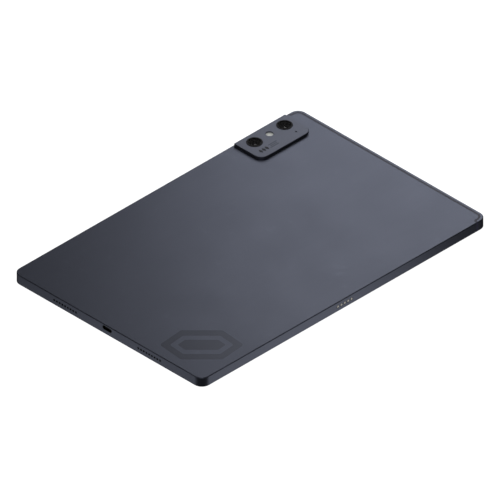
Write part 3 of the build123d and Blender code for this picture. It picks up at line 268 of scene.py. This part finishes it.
def screen_glass():
    """Cover glass: black ink border, the panel's own slightly bluer black inside it, fine smudges."""
    panel_border = 3.4 * mm
    blur = 0.05 * mm
    window_edge = (1.55 * mm, 1.65 * mm)
    ring_inside = (1.9 * mm, 2.0 * mm)
    ring_outside = (2.15 * mm, 2.25 * mm)
    f = Finish("screen_glass")
    x, y, _ = f.axes(f.place())
    panel_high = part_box("display_cell")[1]
    edge = (abs(x) - (panel_high.x - panel_border)).most(abs(y) - (panel_high.y - panel_border))
    inside = 1 - edge.ramp(-blur, blur)
    ink = f.noise(0.003, detail=3.0)
    border = f.mix(ink, grey(0.0035), grey(0.0055))
    panel = f.mix(ink, (0.007, 0.008, 0.011), (0.010, 0.011, 0.015))
    tone = f.mix(inside, border, panel)
    for name in ("front_camera_1", "front_camera_2", "light_sensor"):
        low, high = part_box(name)
        centre = (low + high) / 2
        east, north, _ = f.axes(f.place(shift=(-centre.x, -centre.y, 0)))
        away = (east * east + north * north).root()
        window = 1 - away.ramp(*window_edge)
        ring = away.ramp(*ring_inside) * (1 - away.ramp(*ring_outside))
        tone = f.mix(window, tone, (0.012, 0.010, 0.018))
        tone = f.mix(ring * 0.6, tone, (0.03, 0.03, 0.035))
    smudge = f.noise(0.018, detail=6.0, roughness=0.6).ramp(0.5, 0.8)
    rough = smudge * 0.10 + 0.035
    return f.surface(Base_Color=tone, Roughness=rough, Coat_Weight=1.0, Coat_Roughness=0.03, IOR=1.52)


def laminate():
    """Circuit board: solder mask over copper runs, with scattered vias."""
    f = Finish("laminate")
    runs = f.node(
        "ShaderNodeTexBrick",
        {"offset": 0.37, "squash": 0.6, "squash_frequency": 3},
        {
            "Vector": f.place(),
            "Scale": 260.0,
            "Mortar Size": 0.035,
            "Mortar Smooth": 0.2,
            "Color1": (0, 0, 0, 1),
            "Color2": (0.25, 0.25, 0.25, 1),
            "Mortar": (1, 1, 1, 1),
        },
    )
    vias = 1 - f.cells(0.0017).ramp(0.10, 0.16)
    mask = f.noise(0.012, detail=4.0)
    board = f.mix(mask, (0.008, 0.030, 0.020), (0.014, 0.050, 0.034))
    traced = f.mix(runs * 0.55, board, (0.030, 0.095, 0.060))
    tone = f.mix(vias, traced, (0.55, 0.42, 0.18))
    rough = mask * 0.12 + 0.30 - vias * 0.12
    texture = f.bump(runs, 0.3, 0.00003)
    return f.surface(Base_Color=tone, Roughness=rough, Metallic=vias * 0.8, Normal=texture)


def film(name, colour, line, pitch=0.0006):
    """Flexible circuit: fine copper lines under a tinted film."""
    f = Finish(name)
    _, y, _ = f.axes(f.place())
    lines = (y * (2 * math.pi / pitch)).sine().ramp(0.1, 0.5)
    drift = f.noise(0.010, detail=4.0)
    tone = f.mix(lines * 0.5, f.mix(drift, grey(0.8, colour), grey(1.2, colour)), line)
    return f.surface(
        Base_Color=tone, Roughness=drift * 0.2 + 0.28, Normal=f.bump(lines, 0.25, 0.00002), Coat_Weight=0.3
    )


def pouch():
    """Foil battery pouch: crinkled, dark laminate with a faint sheen."""
    f = Finish("pouch")
    crinkle = f.cells(0.0045, where=f.place(stretch=(1.0, 0.5, 1.0)), feature="SMOOTH_F1")
    fine = f.noise(0.0014, detail=5.0)
    tone = f.mix(fine * 0.5 + crinkle * 0.5, (0.035, 0.036, 0.040), (0.085, 0.087, 0.095))
    return f.surface(
        Base_Color=tone, Metallic=0.55, Roughness=fine * 0.22 + 0.30, Normal=f.bump(crinkle, 0.35, 0.0003)
    )


def woven(name, colour):
    """Fine woven wire: two crossed sets of strands."""
    f = Finish(name)
    _, y, z = f.axes(f.place())
    turns = 2 * math.pi / 0.00022
    strands = abs((y * turns).sine() * (z * turns).sine())
    dust = f.noise(0.002, detail=4.0)
    tone = f.mix(strands * 0.7 + dust * 0.3, grey(0.4, colour), grey(1.8, colour))
    return f.surface(
        Base_Color=tone, Metallic=0.6, Roughness=dust * 0.25 + 0.40, Normal=f.bump(strands, 0.7, 0.00005)
    )


def diffuser():
    """Frosted flash window with faint moulded rings round its middle, painted lighter towards its middle and
    given a faint emission glow: painted light, as the flash is not lit.
    """
    f = Finish("flash_diffuser")
    low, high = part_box("flash_lens")
    centre = (low + high) / 2
    east, north, _ = f.axes(f.place(shift=(-centre.x, -centre.y, 0)))
    away = (east * east + north * north).root()
    rings = (away * (2 * math.pi / 0.00045)).sine() * 0.5 + 0.5
    painted_glow = 1 - away.ramp(0.2 * mm, 2.4 * mm)
    frost = f.noise(0.0004, detail=4.0)
    # painted highlight: the window's colour is lighter towards its middle
    tone = f.mix(painted_glow * 0.6, (0.60, 0.65, 0.62), (0.84, 0.86, 0.76))
    return f.surface(
        Base_Color=f.mix(frost * 0.25, tone, (0.88, 0.93, 0.90)),
        Roughness=frost * 0.2 + 0.22,
        Normal=f.bump(rings, 0.45, 0.00003),
        Coat_Weight=0.5,
        # painted glow: a faint emission, though the flash is not lit
        Emission_Color=(1.0, 1.0, 0.95),
        Emission_Strength=0.20,
    )


def printed(name, colour, roughness=0.34):
    """Laser-darkened or printed mark: denser and a little smoother than the metal round it."""
    f = Finish(name)
    grain = f.noise(0.00025, detail=3.0)
    wear = f.noise(0.008, detail=5.0).ramp(0.55, 0.85)
    tone = f.mix(grain, grey(0.88, colour), grey(1.12, colour))
    tone = f.mix(wear * 0.12, tone, SLATE)
    return f.surface(
        Base_Color=tone,
        Metallic=0.93,
        Roughness=(grain - 0.5) * 0.10 + roughness + wear * 0.05,
        Normal=f.bump(grain, 0.14, 0.00003),
        Specular_IOR_Level=0.45,
    )


lens_centres = []
for ring in ("lens_ring_1", "lens_ring_2"):
    low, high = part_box(ring)
    lens_centres.append(((low.x + high.x) / 2, (low.y + high.y) / 2))

finishes = {
    "housing": anodised("anodised_slate", SLATE),
    "island": anodised("anodised_island", grey(0.98, SLATE), metallic=0.70, roughness=0.42),
    "key": anodised("anodised_key", grey(0.82, SLATE), roughness=0.34),
    "antenna": moulded("antenna_plastic", (0.066, 0.068, 0.125), roughness=0.50, spread=0.06),
    "bezel": moulded("bezel_black", grey(0.010), roughness=0.42),
    "black": moulded("moulded_black", grey(0.013), roughness=0.52),
    "optical_black": moulded(
        "optical_black", grey(0.004), roughness=0.70, depth=0.00002, shine=0.10
    ),
    "ring": turned("lens_ring_black", (0.020, 0.020, 0.022), lens_centres),
    "lens": optical("lens_cover_glass", (0.004, 0.0045, 0.006), 0.22, 0.05, roughness=0.20),
    "element": optical("front_element", (0.012, 0.010, 0.022), 0.98, 1.0, coat=1.0, roughness=0.08),
    "screen": screen_glass(),
    "panel": optical("panel_glass", (0.006, 0.007, 0.010), 0.96, 0.5, coat=1.0),
    "light_guide": moulded(
        "light_guide", grey(0.72), roughness=0.25, depth=0.00001, spread=0.04, coat=0.5
    ),
    "foam": moulded("foam_tape", grey(0.020), roughness=0.85, size=0.0004, depth=0.00010, spread=0.3),
    "casting": anodised("cast_frame", grey(0.42), roughness=0.52, grain=0.22),
    "board": laminate(),
    "pouch": pouch(),
    "can": brushed("tinned_sheet", grey(0.52), roughness=0.28),
    "switch": moulded("switch_body", grey(0.060), roughness=0.45),
    "pad": brushed("plated_pad", (0.42, 0.40, 0.37), roughness=0.26, size=0.0003),
    "gold": brushed("gold_strip", (0.72, 0.50, 0.20), roughness=0.22, size=0.0004),
    "magnet": brushed("nickel_block", grey(0.50, (1.0, 0.98, 0.94)), roughness=0.2, along=(1, 1, 1)),
    "port": brushed("port_shell", (0.022, 0.022, 0.0231), roughness=0.38, along=(1.0, 10.0, 10.0)),
    "mesh": woven("speaker_mesh", grey(0.006)),
    "screw": brushed("dark_screw", grey(0.16), roughness=0.30, along=(1, 1, 1)),
    "steel": brushed("stamped_steel", grey(0.48), roughness=0.26),
    "flex": film("amber_flex", (0.16, 0.075, 0.018), (0.32, 0.16, 0.05)),
    "graphite": brushed("graphite_sheet", grey(0.035), roughness=0.45, metallic=0.35),
    "jacket": moulded("cable_jacket", grey(0.018), roughness=0.38),
    "diffuser": diffuser(),
    "phosphor": moulded("led_phosphor", (0.78, 0.62, 0.10), roughness=0.6, depth=0.00001),
    "emblem": printed("emblem_print", grey(0.50, SLATE)),
    "mark": printed("island_print", grey(0.10, SLATE)),
    "fine_mark": printed("island_fine_print", grey(0.42, SLATE)),
}

wears = {
    "housing": ("rear_housing", "antenna_end_cap"),
    "island": ("camera_island",),
    "key": ("power_key", "volume_rocker", "card_tray"),
    "antenna": ("antenna_strip",),
    "bezel": ("bezel_frame",),
    "black": (
        "contact_holder",
        "card_reader",
        "eject_slide",
        "speaker_1",
        "speaker_2",
        "speaker_3",
        "speaker_4",
    ),
    "optical_black": ("front_camera_1", "front_camera_2", "rear_camera_1", "rear_camera_2"),
    "lens": ("lens_cover_1", "lens_cover_2"),
    "screen": ("front_glass",),
    "panel": ("display_cell",),
    "light_guide": ("backlight_unit",),
    "foam": ("display_adhesive",),
    "casting": ("mid_frame",),
    "board": ("main_board", "sub_board", "flash_board", "battery_board"),
    "pouch": ("battery_cell_1", "battery_cell_2"),
    "can": (
        "shield_can_1",
        "shield_can_2",
        "shield_can_3",
        "reader_cover",
        "rear_microphone",
        "top_microphone",
    ),
    "switch": ("power_switch", "volume_switches", "light_sensor"),
    "magnet": ("dock_magnets",),
    "port": ("usb_c_shell",),
    "mesh": ("speaker_meshes",),
    "screw": ("chassis_screws", "board_screws"),
    "steel": ("eject_rod", "eject_lever"),
    "flex": ("interconnect_flex", "display_flex", "camera_flexes"),
    "graphite": ("heat_spreader",),
    "jacket": ("antenna_cable",),
    "diffuser": ("flash_lens",),
    "phosphor": ("flash_led",),
    "ring": ("lens_ring_1", "lens_ring_2"),
}


for finish, names in wears.items():
    for name in names:
        materials = nodes[name].data.materials
        materials.clear()
        materials.append(finishes[finish])


# ---------------------------------------------------------------- making pieces
def close_up(mesh):
    """Merges a mesh's doubled corners, so that its solids are closed, and turns their faces outwards."""
    work = bmesh.new()
    work.from_mesh(mesh)
    bmesh.ops.remove_doubles(work, verts=work.verts, dist=1e-7)
    bmesh.ops.recalc_face_normals(work, faces=work.faces)
    work.to_mesh(mesh)
    work.free()


def keep(name, mesh, body, finish=None, replaces=()):
    """A finished mesh becomes a piece that rides on a body."""
    close_up(mesh)
    piece = bpy.data.objects.new(name, mesh)
    bpy.context.scene.collection.objects.link(piece)
    if finish is not None:
        mesh.materials.clear()
        mesh.materials.append(finishes[finish])
    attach(piece, body)
    if replaces:
        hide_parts(*replaces)
    return piece


class Growth:
    """A geometry tree made in code. Its inputs are named sizes; it ends realised, with its material set."""

    def __init__(self, name, sizes):
        self.tree = bpy.data.node_groups.new(name, "GeometryNodeTree")
        self.sizes = sizes
        self.sockets = {}
        for label, value in sizes.items():
            kind = "NodeSocketInt" if isinstance(value, int) else "NodeSocketFloat"
            self.sockets[label] = self.tree.interface.new_socket(label, in_out="INPUT", socket_type=kind)
        self.tree.interface.new_socket("Geometry", in_out="OUTPUT", socket_type="NodeSocketGeometry")
        self.given = self.tree.nodes.new("NodeGroupInput")

    def size(self, label):
        return self.given.outputs[label]

    def add(self, kind, settings=None, inputs=None, out=0):
        made = self.tree.nodes.new(kind)
        for name, value in (settings or {}).items():
            setattr(made, name, value)
        for name, value in (inputs or {}).items():
            many = value if isinstance(value, list) else [value]
            for one in many:
                if isinstance(one, bpy.types.NodeSocket):
                    self.tree.links.new(one, made.inputs[name])
                else:
                    made.inputs[name].default_value = one
        return made.outputs[out]

    def sum(self, operation, *values):
        return self.add("ShaderNodeMath", {"operation": operation}, dict(enumerate(values)))

    def point(self, x=0.0, y=0.0, z=0.0):
        return self.add("ShaderNodeCombineXYZ", {}, {0: x, 1: y, 2: z})

    def move(self, geometry, shift):
        return self.add("GeometryNodeTransform", {}, {"Geometry": geometry, "Translation": shift})

    def circle(self, resolution, radius):
        inputs = {"Resolution": resolution, "Radius": radius}
        return self.add("GeometryNodeCurvePrimitiveCircle", {"mode": "RADIUS"}, inputs)

    def line(self, start, step, count):
        inputs = {"Count": count, "Start Location": start, "Offset": step}
        return self.add("GeometryNodeMeshLine", {"mode": "OFFSET"}, inputs)

    def row(self, axis):
        """As many points as the size Count along an axis, Pitch apart, with their middle at the origin."""
        count, pitch = self.size("Count"), self.size("Pitch")
        back = self.sum("MULTIPLY", pitch, -0.5)
        start = self.sum("MULTIPLY", self.sum("SUBTRACT", count, 1.0), back)
        return self.line(self.point(**{axis: start}), self.point(**{axis: pitch}), count)

    def copies(self, points, instance, **inputs):
        inputs = {"Points": points, "Instance": instance, **inputs}
        return self.add("GeometryNodeInstanceOnPoints", {}, inputs)

    def join(self, *parts):
        return self.add("GeometryNodeJoinGeometry", {}, {0: list(reversed(parts))})

    def grown(self, geometry, finish):
        """Closes the tree, runs it on an empty mesh and returns the plain mesh."""
        real = self.add("GeometryNodeRealizeInstances", {}, {0: geometry})
        dressed = self.add("GeometryNodeSetMaterial", {}, {"Geometry": real, "Material": finishes[finish]})
        output = self.tree.nodes.new("NodeGroupOutput")
        self.tree.links.new(dressed, output.inputs[0])
        seed = bpy.data.objects.new(self.tree.name, bpy.data.meshes.new(self.tree.name))
        bpy.context.scene.collection.objects.link(seed)
        modifier = seed.modifiers.new("grow", "NODES")
        modifier.node_group = self.tree
        for label, value in self.sizes.items():
            modifier[self.sockets[label].identifier] = value
        bpy.context.view_layer.update()
        graph = bpy.context.evaluated_depsgraph_get()
        mesh = bpy.data.meshes.new_from_object(seed.evaluated_get(graph), depsgraph=graph)
        seed.modifiers.remove(modifier)
        bpy.data.objects.remove(seed)
        return mesh


def rounded(points, radius, steps=8):
    """The outline through points with every corner rounded."""
    outline = []
    count = len(points)
    for i in range(count):
        here = Vector(points[i])
        back = (Vector(points[i - 1]) - here).normalized()
        on = (Vector(points[(i + 1) % count]) - here).normalized()
        half = math.acos(max(-1.0, min(1.0, back.dot(on)))) / 2
        reach = radius / math.tan(half)
        centre = here + (back + on).normalized() * (radius / math.sin(half))
        start = here + back * reach - centre
        end = here + on * reach - centre
        for k in range(steps + 1):
            spot = start.lerp(end, k / steps).normalized() * radius + centre
            outline.append((spot.x, spot.y))
    return outline


def flat_mark(name, outlines, thickness, place):
    """A thin flat solid with holes, from closed outlines, put in place in its mesh."""
    curve = bpy.data.curves.new(name, "CURVE")
    curve.dimensions = "2D"
    curve.fill_mode = "BOTH"
    curve.extrude = thickness / 2
    for outline in outlines:
        spline = curve.splines.new("POLY")
        spline.points.add(len(outline) - 1)
        for point, (x, y) in zip(spline.points, outline):
            point.co = (x, y, 0, 1)
        spline.use_cyclic_u = True
    holder = bpy.data.objects.new(name, curve)
    bpy.context.scene.collection.objects.link(holder)
    bpy.context.view_layer.update()
    graph = bpy.context.evaluated_depsgraph_get()
    mesh = bpy.data.meshes.new_from_object(holder.evaluated_get(graph), depsgraph=graph)
    bpy.data.objects.remove(holder)
    mesh.transform(place)
    return mesh


def lathe(name, profile, centre, steps=64):
    """Turns a profile of (radius, height) round an upright axis at centre; ends on the axis are closed."""
    work = bmesh.new()
    chain = [work.verts.new((centre[0] + r, centre[1], z)) for r, z in profile]
    for a, b in zip(chain, chain[1:]):
        work.edges.new((a, b))
    bmesh.ops.spin(
        work,
        geom=work.verts[:] + work.edges[:],
        cent=(centre[0], centre[1], 0),
        axis=(0, 0, 1),
        angle=2 * math.pi,
        steps=steps,
        use_merge=True,
    )
    bmesh.ops.remove_doubles(work, verts=work.verts, dist=1e-7)
    bmesh.ops.recalc_face_normals(work, faces=work.faces)
    mesh = bpy.data.meshes.new(name)
    work.to_mesh(mesh)
    work.free()
    for polygon in mesh.polygons:
        polygon.use_smooth = True
    mesh.set_sharp_from_angle(angle=math.radians(32))
    return mesh


def arc(centre, radius, start, end, steps):
    """Points on an arc, angles in degrees, as (radius, height) pairs."""
    cx, cz = centre
    turns = [math.radians(start + (end - start) * k / steps) for k in range(steps + 1)]
    return [(cx + radius * math.cos(t), cz + radius * math.sin(t)) for t in turns]


# ---------------------------------------------------------------- lens rings, barrels and elements
ring_low, ring_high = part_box("lens_ring_1")
cover_low, cover_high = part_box("lens_cover_1")
ring_radius = (ring_high.x - ring_low.x) / 2
cover_radius = (cover_high.x - cover_low.x) / 2
ring_top = ring_high.z


def ring_profile():
    """A bezel with a rolled outer edge and a fine groove, a seat for the cover glass and a tube below."""
    bore = cover_radius - 0.6 * mm
    seat = cover_radius + 0.05 * mm
    tube = ring_radius - 0.6 * mm
    flange = ring_top - 0.65 * mm
    roll = 0.26 * mm
    groove = ring_top - 0.05 * mm
    profile = [(bore, ring_low.z), (tube, ring_low.z), (tube, flange), (ring_radius, flange)]
    profile += [(ring_radius, ring_top - roll)]
    profile += arc((ring_radius - roll, ring_top - roll), roll, 8, 90, 6)
    profile += [(ring_radius - 0.55 * mm, ring_top), (ring_radius - 0.62 * mm, groove)]
    profile += [(ring_radius - 0.70 * mm, groove), (ring_radius - 0.76 * mm, ring_top)]
    profile += [(seat + 0.11 * mm, ring_top), (seat, ring_top - 0.09 * mm)]
    profile += [(seat, cover_low.z), (bore, cover_low.z), (bore, ring_low.z)]
    return profile


def barrel_steps(name, centre, mouth):
    """Flat rings that narrow and sink by equal steps, from the barrel's mouth to its pupil."""
    step_width = 0.09  # a share of the step's own radius
    step_height = 0.21 * mm
    first_step = mouth - 0.12 * mm
    funnel = Growth(
        name, {"Steps": 9, "Mouth radius": 3.75 * mm, "Pupil radius": 1.75 * mm, "Depth": 1.9 * mm}
    )
    mouth_radius = funnel.size("Mouth radius")
    share = funnel.sum("DIVIDE", funnel.add("GeometryNodeInputIndex"), funnel.size("Steps"))
    narrowing = funnel.sum("SUBTRACT", mouth_radius, funnel.size("Pupil radius"))
    reach = funnel.sum("SUBTRACT", mouth_radius, funnel.sum("MULTIPLY", narrowing, share))
    drop = funnel.sum("DIVIDE", funnel.size("Depth"), funnel.size("Steps"))
    sink = funnel.point(z=funnel.sum("MULTIPLY", drop, -1.0))
    section = funnel.add(
        "GeometryNodeCurvePrimitiveQuadrilateral",
        {"mode": "RECTANGLE"},
        {"Width": step_width, "Height": step_height},
    )
    ring = funnel.add(
        "GeometryNodeCurveToMesh",
        {},
        {"Curve": funnel.circle(48, 1.0), "Profile Curve": section, "Fill Caps": True},
    )
    points = funnel.line((0, 0, 0), sink, funnel.size("Steps"))
    steps = funnel.copies(points, ring, Scale=funnel.point(reach, reach, 1.0))
    return funnel.grown(funnel.move(steps, (*centre, first_step)), "optical_black")


def barrel_profile(base, mouth):
    """The barrel's own wall round the steps, closed behind the front element."""
    collar, wall, lip, well = 4.3 * mm, 3.95 * mm, 3.85 * mm, 3.4 * mm
    shelf = base + 2.9 * mm
    collar_top = shelf + 0.2 * mm
    floor = mouth - 2.05 * mm
    profile = [(0, shelf), (collar, shelf), (collar, collar_top), (wall, collar_top)]
    profile += [(wall, mouth - 0.05 * mm), (lip, mouth), (lip - 0.13 * mm, mouth)]
    profile += [(lip - 0.19 * mm, mouth - 0.1 * mm), (well, floor), (0, floor)]
    return profile


def element_profile(mouth):
    """The front element: a shallow dome on a short foot."""
    dome_radius = 2.9 * mm
    foot = mouth - 2.0 * mm
    dome = arc((0, mouth - 4.25 * mm), dome_radius, 53, 90, 12)
    return [(0, foot), (dome[0][0] + 0.1 * mm, foot), *dome]


for number, centre in enumerate(lens_centres, start=1):
    mesh = lathe("turned_lens_ring", ring_profile(), centre, steps=96)
    ring = f"lens_ring_{number}"
    keep(f"turned_{ring}", mesh, "tablet_body", "ring", [ring])

    low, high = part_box(f"rear_camera_{number}")
    mesh = barrel_steps(f"stepped_barrel_{number}", centre, high.z)
    keep(f"lens_steps_{number}", mesh, "tablet_body")

    mesh = lathe("barrel_wall", barrel_profile(low.z, high.z), centre)
    keep(f"barrel_wall_{number}", mesh, "tablet_body", "optical_black")

    mesh = lathe("front_element", element_profile(high.z), centre, steps=48)
    keep(f"front_element_{number}", mesh, "tablet_body", "element")

# ---------------------------------------------------------------- dock contacts: dished, turned pads
pads_low, pads_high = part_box("dock_contacts")
pad_height = (pads_low.z + pads_high.z) / 2
pad_depth = 1.15 * mm
tail_length = 1.0 * mm
tail_overlap = 0.025 * mm
pads = Growth(
    "dished_pads",
    {
        "Count": 5,
        "Pitch": 3.25 * mm,
        "Radius": 0.88 * mm,
        "Depth": pad_depth,
        "Dish": 0.10 * mm,
        "Tail": 0.42 * mm,
    },
)
disc = pads.add(
    "GeometryNodeMeshCylinder",
    {"fill_type": "TRIANGLE_FAN"},
    {
        "Vertices": 28,
        "Side Segments": 1,
        "Fill Segments": 5,
        "Radius": pads.size("Radius"),
        "Depth": pads.size("Depth"),
    },
)
# the front face sinks as a bowl: deepest in the middle, nothing at the edge
where = pads.add("GeometryNodeInputPosition")
apart = pads.tree.nodes.new("ShaderNodeSeparateXYZ")
pads.tree.links.new(where, apart.inputs[0])
squares = [pads.sum("POWER", apart.outputs[axis], 2.0) for axis in (0, 1)]
inward = pads.sum("DIVIDE", pads.sum("SQRT", pads.sum("ADD", *squares)), pads.size("Radius"))
bowl = pads.sum("SUBTRACT", 1.0, pads.sum("POWER", inward, 2.0))
hollow = pads.sum("MULTIPLY", bowl, pads.size("Dish"))
front = pads.sum("GREATER_THAN", apart.outputs[2], 0.0)
sunk = pads.point(z=pads.sum("MULTIPLY", hollow, -1.0))
dished = pads.add("GeometryNodeSetPosition", {}, {"Geometry": disc, "Selection": front, "Offset": sunk})
tail = pads.add(
    "GeometryNodeMeshCylinder",
    {},
    {
        "Vertices": 20,
        "Side Segments": 1,
        "Fill Segments": 1,
        "Radius": pads.size("Tail"),
        "Depth": tail_length,
    },
)
tail_place = (0, 0, -(pad_depth + tail_length) / 2 + tail_overlap)
one_pad = pads.join(dished, pads.move(tail, tail_place))
pad_set = pads.copies(pads.row("x"), one_pad, Rotation=(math.radians(90), 0, 0))
placed = pads.move(pad_set, (0, -half_width + pad_depth / 2, pad_height))
mesh = pads.grown(placed, "pad")
keep("dished_pads", mesh, "tablet_body", None, ["dock_contacts"])

# ---------------------------------------------------------------- speaker holes: a fine rolled rim round each, dark as painted shade at the hole edges
rim_inset = 0.10 * mm
rims = Growth(
    "speaker_shade_rims",
    {
        "Count": 9,
        "Pitch": 2.64 * mm,
        "Hole radius": 0.86 * mm,
        "Rim": 0.12 * mm,
        "Offset": 40.9 * mm,
        "Height": 3.9 * mm,
    },
)
hoop = rims.circle(24, rims.size("Hole radius"))
bead = rims.circle(6, rims.size("Rim"))
rim = rims.add("GeometryNodeCurveToMesh", {}, {"Curve": hoop, "Profile Curve": bead})
grille = rims.copies(rims.row("y"), rim, Rotation=(0, math.radians(90), 0))
offset, height = rims.size("Offset"), rims.size("Height")
far_offset = rims.sum("MULTIPLY", offset, -1.0)
grilles = rims.join(*[rims.move(grille, rims.point(y=y, z=height)) for y in (offset, far_offset)])
rim_x = half_length - rim_inset
ends = rims.join(*[rims.move(grilles, (x, 0, 0)) for x in (rim_x, -rim_x)])
# the rims take the dark port finish: painted shade at the edge of each hole
keep("speaker_shade_rims", rims.grown(ends, "port"), "tablet_body")

# ---------------------------------------------------------------- port tongue with its contact strips
tongue_low, tongue_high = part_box("usb_c_tongue")
tongue_middle = (tongue_low + tongue_high) / 2
tongue_trim = Vector((0, 0.1, 0.06)) * mm
tongue_edge = 0.14 * mm
work = bmesh.new()
bmesh.ops.create_cube(work, size=1.0)
bmesh.ops.scale(work, vec=tongue_high - tongue_low - tongue_trim, verts=work.verts)
bmesh.ops.translate(work, vec=tongue_middle, verts=work.verts)
bmesh.ops.bevel(work, geom=work.edges[:], offset=tongue_edge, segments=3, profile=0.6, affect="EDGES")
mesh = bpy.data.meshes.new("port_tongue")
work.to_mesh(mesh)
work.free()
keep("port_tongue", mesh, "tablet_body", "black", ["usb_c_tongue"])

strip_sink = 0.02 * mm
strip_inset = 2.1 * mm  # front of the tongue to the middle of the strips
strips = Growth(
    "port_strips",
    {"Count": 12, "Pitch": 0.5 * mm, "Length": 3.4 * mm, "Width": 0.26 * mm, "Thickness": 0.05 * mm},
)
strip_size = strips.point(*[strips.size(label) for label in ("Length", "Width", "Thickness")])
strip = strips.add("GeometryNodeMeshCube", {}, {"Size": strip_size})
laid = strips.copies(strips.row("y"), strip)
face = (tongue_high.z - tongue_low.z) / 2 - strip_sink
strip_x = tongue_low.x + strip_inset
both = strips.join(*[strips.move(laid, (strip_x, 0, tongue_middle.z + side)) for side in (face, -face)])
keep("port_strips", strips.grown(both, "gold"), "tablet_body")

# ---------------------------------------------------------------- emblem and printed marks
print_thickness = 0.012 * mm
emblem_spot = Vector((-109 * mm, -62 * mm, back_height + print_thickness / 2))
island_lift = 0.0075 * mm
mark_spot = Vector((island_low.x + 10.6 * mm, island_low.y + 7.0 * mm, island_high.z + island_lift))
mark_scale = 1.25


def hexagon(length, height, corner):
    """A long hexagon with pointed ends, corners rounded."""
    flank = 0.42  # how far each end slopes, as a share of the height
    reach, rise, flat = length / 2, height / 2, length / 2 - height * flank
    points = [(reach, 0), (flat, rise), (-flat, rise), (-reach, 0), (-flat, -rise), (flat, -rise)]
    return rounded(points, corner)


def bar(x, y, length):
    """A plain bar with rounded ends about x, y; all in millimetres."""
    height, corner = 0.65, 0.3
    lx, hy = length / 2, height / 2
    corners = [(x + lx, y + hy), (x - lx, y + hy), (x - lx, y - hy), (x + lx, y - hy)]
    return rounded([(a * mm, b * mm) for a, b in corners], corner * mm, steps=6)


def lozenge(x):
    """A solid upright diamond about x; all in millimetres."""
    width, height, corner = 2.1, 3.9, 0.25
    corners = [(x + width / 2, 0), (x, height / 2), (x - width / 2, 0), (x, -height / 2)]
    return rounded([(a * mm, b * mm) for a, b in corners], corner * mm, steps=4)


slant = Matrix.Rotation(math.radians(-45), 4, "Z")
outlines = [
    hexagon(58 * mm, 35 * mm, 3.0 * mm),
    list(reversed(hexagon(44 * mm, 22 * mm, 2.0 * mm))),
    hexagon(33 * mm, 12 * mm, 1.2 * mm),
]
mesh = flat_mark("emblem_print", outlines, print_thickness, Matrix.Translation(emblem_spot) @ slant)
keep("emblem_print", mesh, "tablet_body", "emblem")

mark_place = Matrix.Translation(mark_spot) @ Matrix.Scale(mark_scale, 4)
lozenges = [lozenge(-3.2 + 2.3 * k) for k in range(3)]
bars = [bar(6.9 - 0.3 * k, 1.25 - 1.25 * k, 6.6 - 1.6 * (k % 2)) for k in range(3)]
for name, outlines, finish in (("island_print", lozenges, "mark"), ("island_fine_print", bars, "fine_mark")):
    mesh = flat_mark(name, outlines, print_thickness, mark_place)
    keep(name, mesh, "tablet_body", finish)

# ---------------------------------------------------------------- floor, light and camera
floor_reach = 6.0
floor_drop = 0.05 * mm  # keeps the paper clear of the front glass, which lies on it
floor_mesh = bpy.data.meshes.new("floor")
work = bmesh.new()
bmesh.ops.create_grid(work, x_segments=1, y_segments=1, size=floor_reach)
work.to_mesh(floor_mesh)
work.free()
floor = bpy.data.objects.new("floor", floor_mesh)
bpy.context.scene.collection.objects.link(floor)
floor_mesh.transform(Matrix.Translation((0, 0, -floor_drop)))
paper = Finish("studio_paper")
fibre = paper.noise(0.02, detail=3.0)
floor_mesh.materials.append(
    paper.surface(
        Base_Color=paper.mix(fibre, grey(0.80), grey(0.82)),
        Roughness=0.9,
        Emission_Color=(1.0, 1.0, 1.0),
        Emission_Strength=1.0,
    )
)
floor.visible_diffuse = False
floor.visible_glossy = False
floor.visible_shadow = False

centre = Vector((0, 0, 2.63 * mm))


def softbox(name, place, aim, width, height, power):
    """A rectangular light at place, facing aim; sizes in metres, power in watts."""
    light = bpy.data.lights.new(name, "AREA")
    light.shape = "RECTANGLE"
    light.size = width
    light.size_y = height
    light.energy = power
    lamp = bpy.data.objects.new(name, light)
    bpy.context.scene.collection.objects.link(lamp)
    lamp.location = place
    lamp.rotation_euler = (Vector(aim) - Vector(place)).to_track_quat("-Z", "Y").to_euler()
    return lamp


away = Vector((0.579, 0.579, 0.574))
right_end = Vector((0.12, -0.08, 0))
# name, place, aim, width, height and power of each
softbox("rear_softbox", right_end + away * 0.50, right_end, 0.35, 0.35, 0.35)
softbox("rear_wide_softbox", right_end + away * 0.90, right_end, 0.50, 0.50, 0.57)
softbox("port_end_softbox", Vector((-1.0, 0, 0.28)), centre, 0.50, 0.35, 0.25)
softbox("key_side_softbox", Vector((0, 1.0, 0.38)), centre, 0.50, 0.35, 0.25)
softbox("front_softbox", Vector((-0.60, -0.60, 0.60)), centre, 0.50, 0.50, 1.2)

# light coming up off the table reaches the two near side faces
port_side = Vector((-half_length, 0, 0))
port_low = port_side + Vector((0, -60 * mm, 0))
dock_side = Vector((0, -half_width, 0))
left_up, right_up = Vector((-0.579, 0.579, -0.574)), Vector((0.579, -0.579, -0.574))
softbox("left_bounce", port_side + left_up * 0.35, port_side, 0.35, 0.25, 0.080)
softbox("left_near_bounce", port_low + left_up * 0.20, port_low, 0.12, 0.12, 0.014)
dock_low = dock_side + Vector((-65 * mm, 0, 0))
softbox("right_bounce", dock_low + right_up * 0.23, dock_side, 0.20, 0.20, 0.108)

world = bpy.data.worlds.new("studio")
bpy.context.scene.world = world
world.use_nodes = True
sky = world.node_tree.nodes["Background"].inputs
sky["Color"].default_value = (1.0, 1.0, 1.0, 1.0)
sky["Strength"].default_value = 0.034

view_width = 0.344
view_distance = 1.2
turn, rise = math.radians(-45), math.radians(34.97)
back = Vector((math.sin(turn) * math.cos(rise), -math.cos(turn) * math.cos(rise), math.sin(rise)))
camera = bpy.data.objects.new("camera", bpy.data.cameras.new("camera"))
bpy.context.scene.collection.objects.link(camera)
camera.data.type = "ORTHO"
camera.data.ortho_scale = view_width
camera.location = centre + back * view_distance
camera.rotation_euler = back.to_track_quat("Z", "Y").to_euler()
bpy.context.scene.camera = camera
bpy.context.scene.view_settings.view_transform = "Standard"
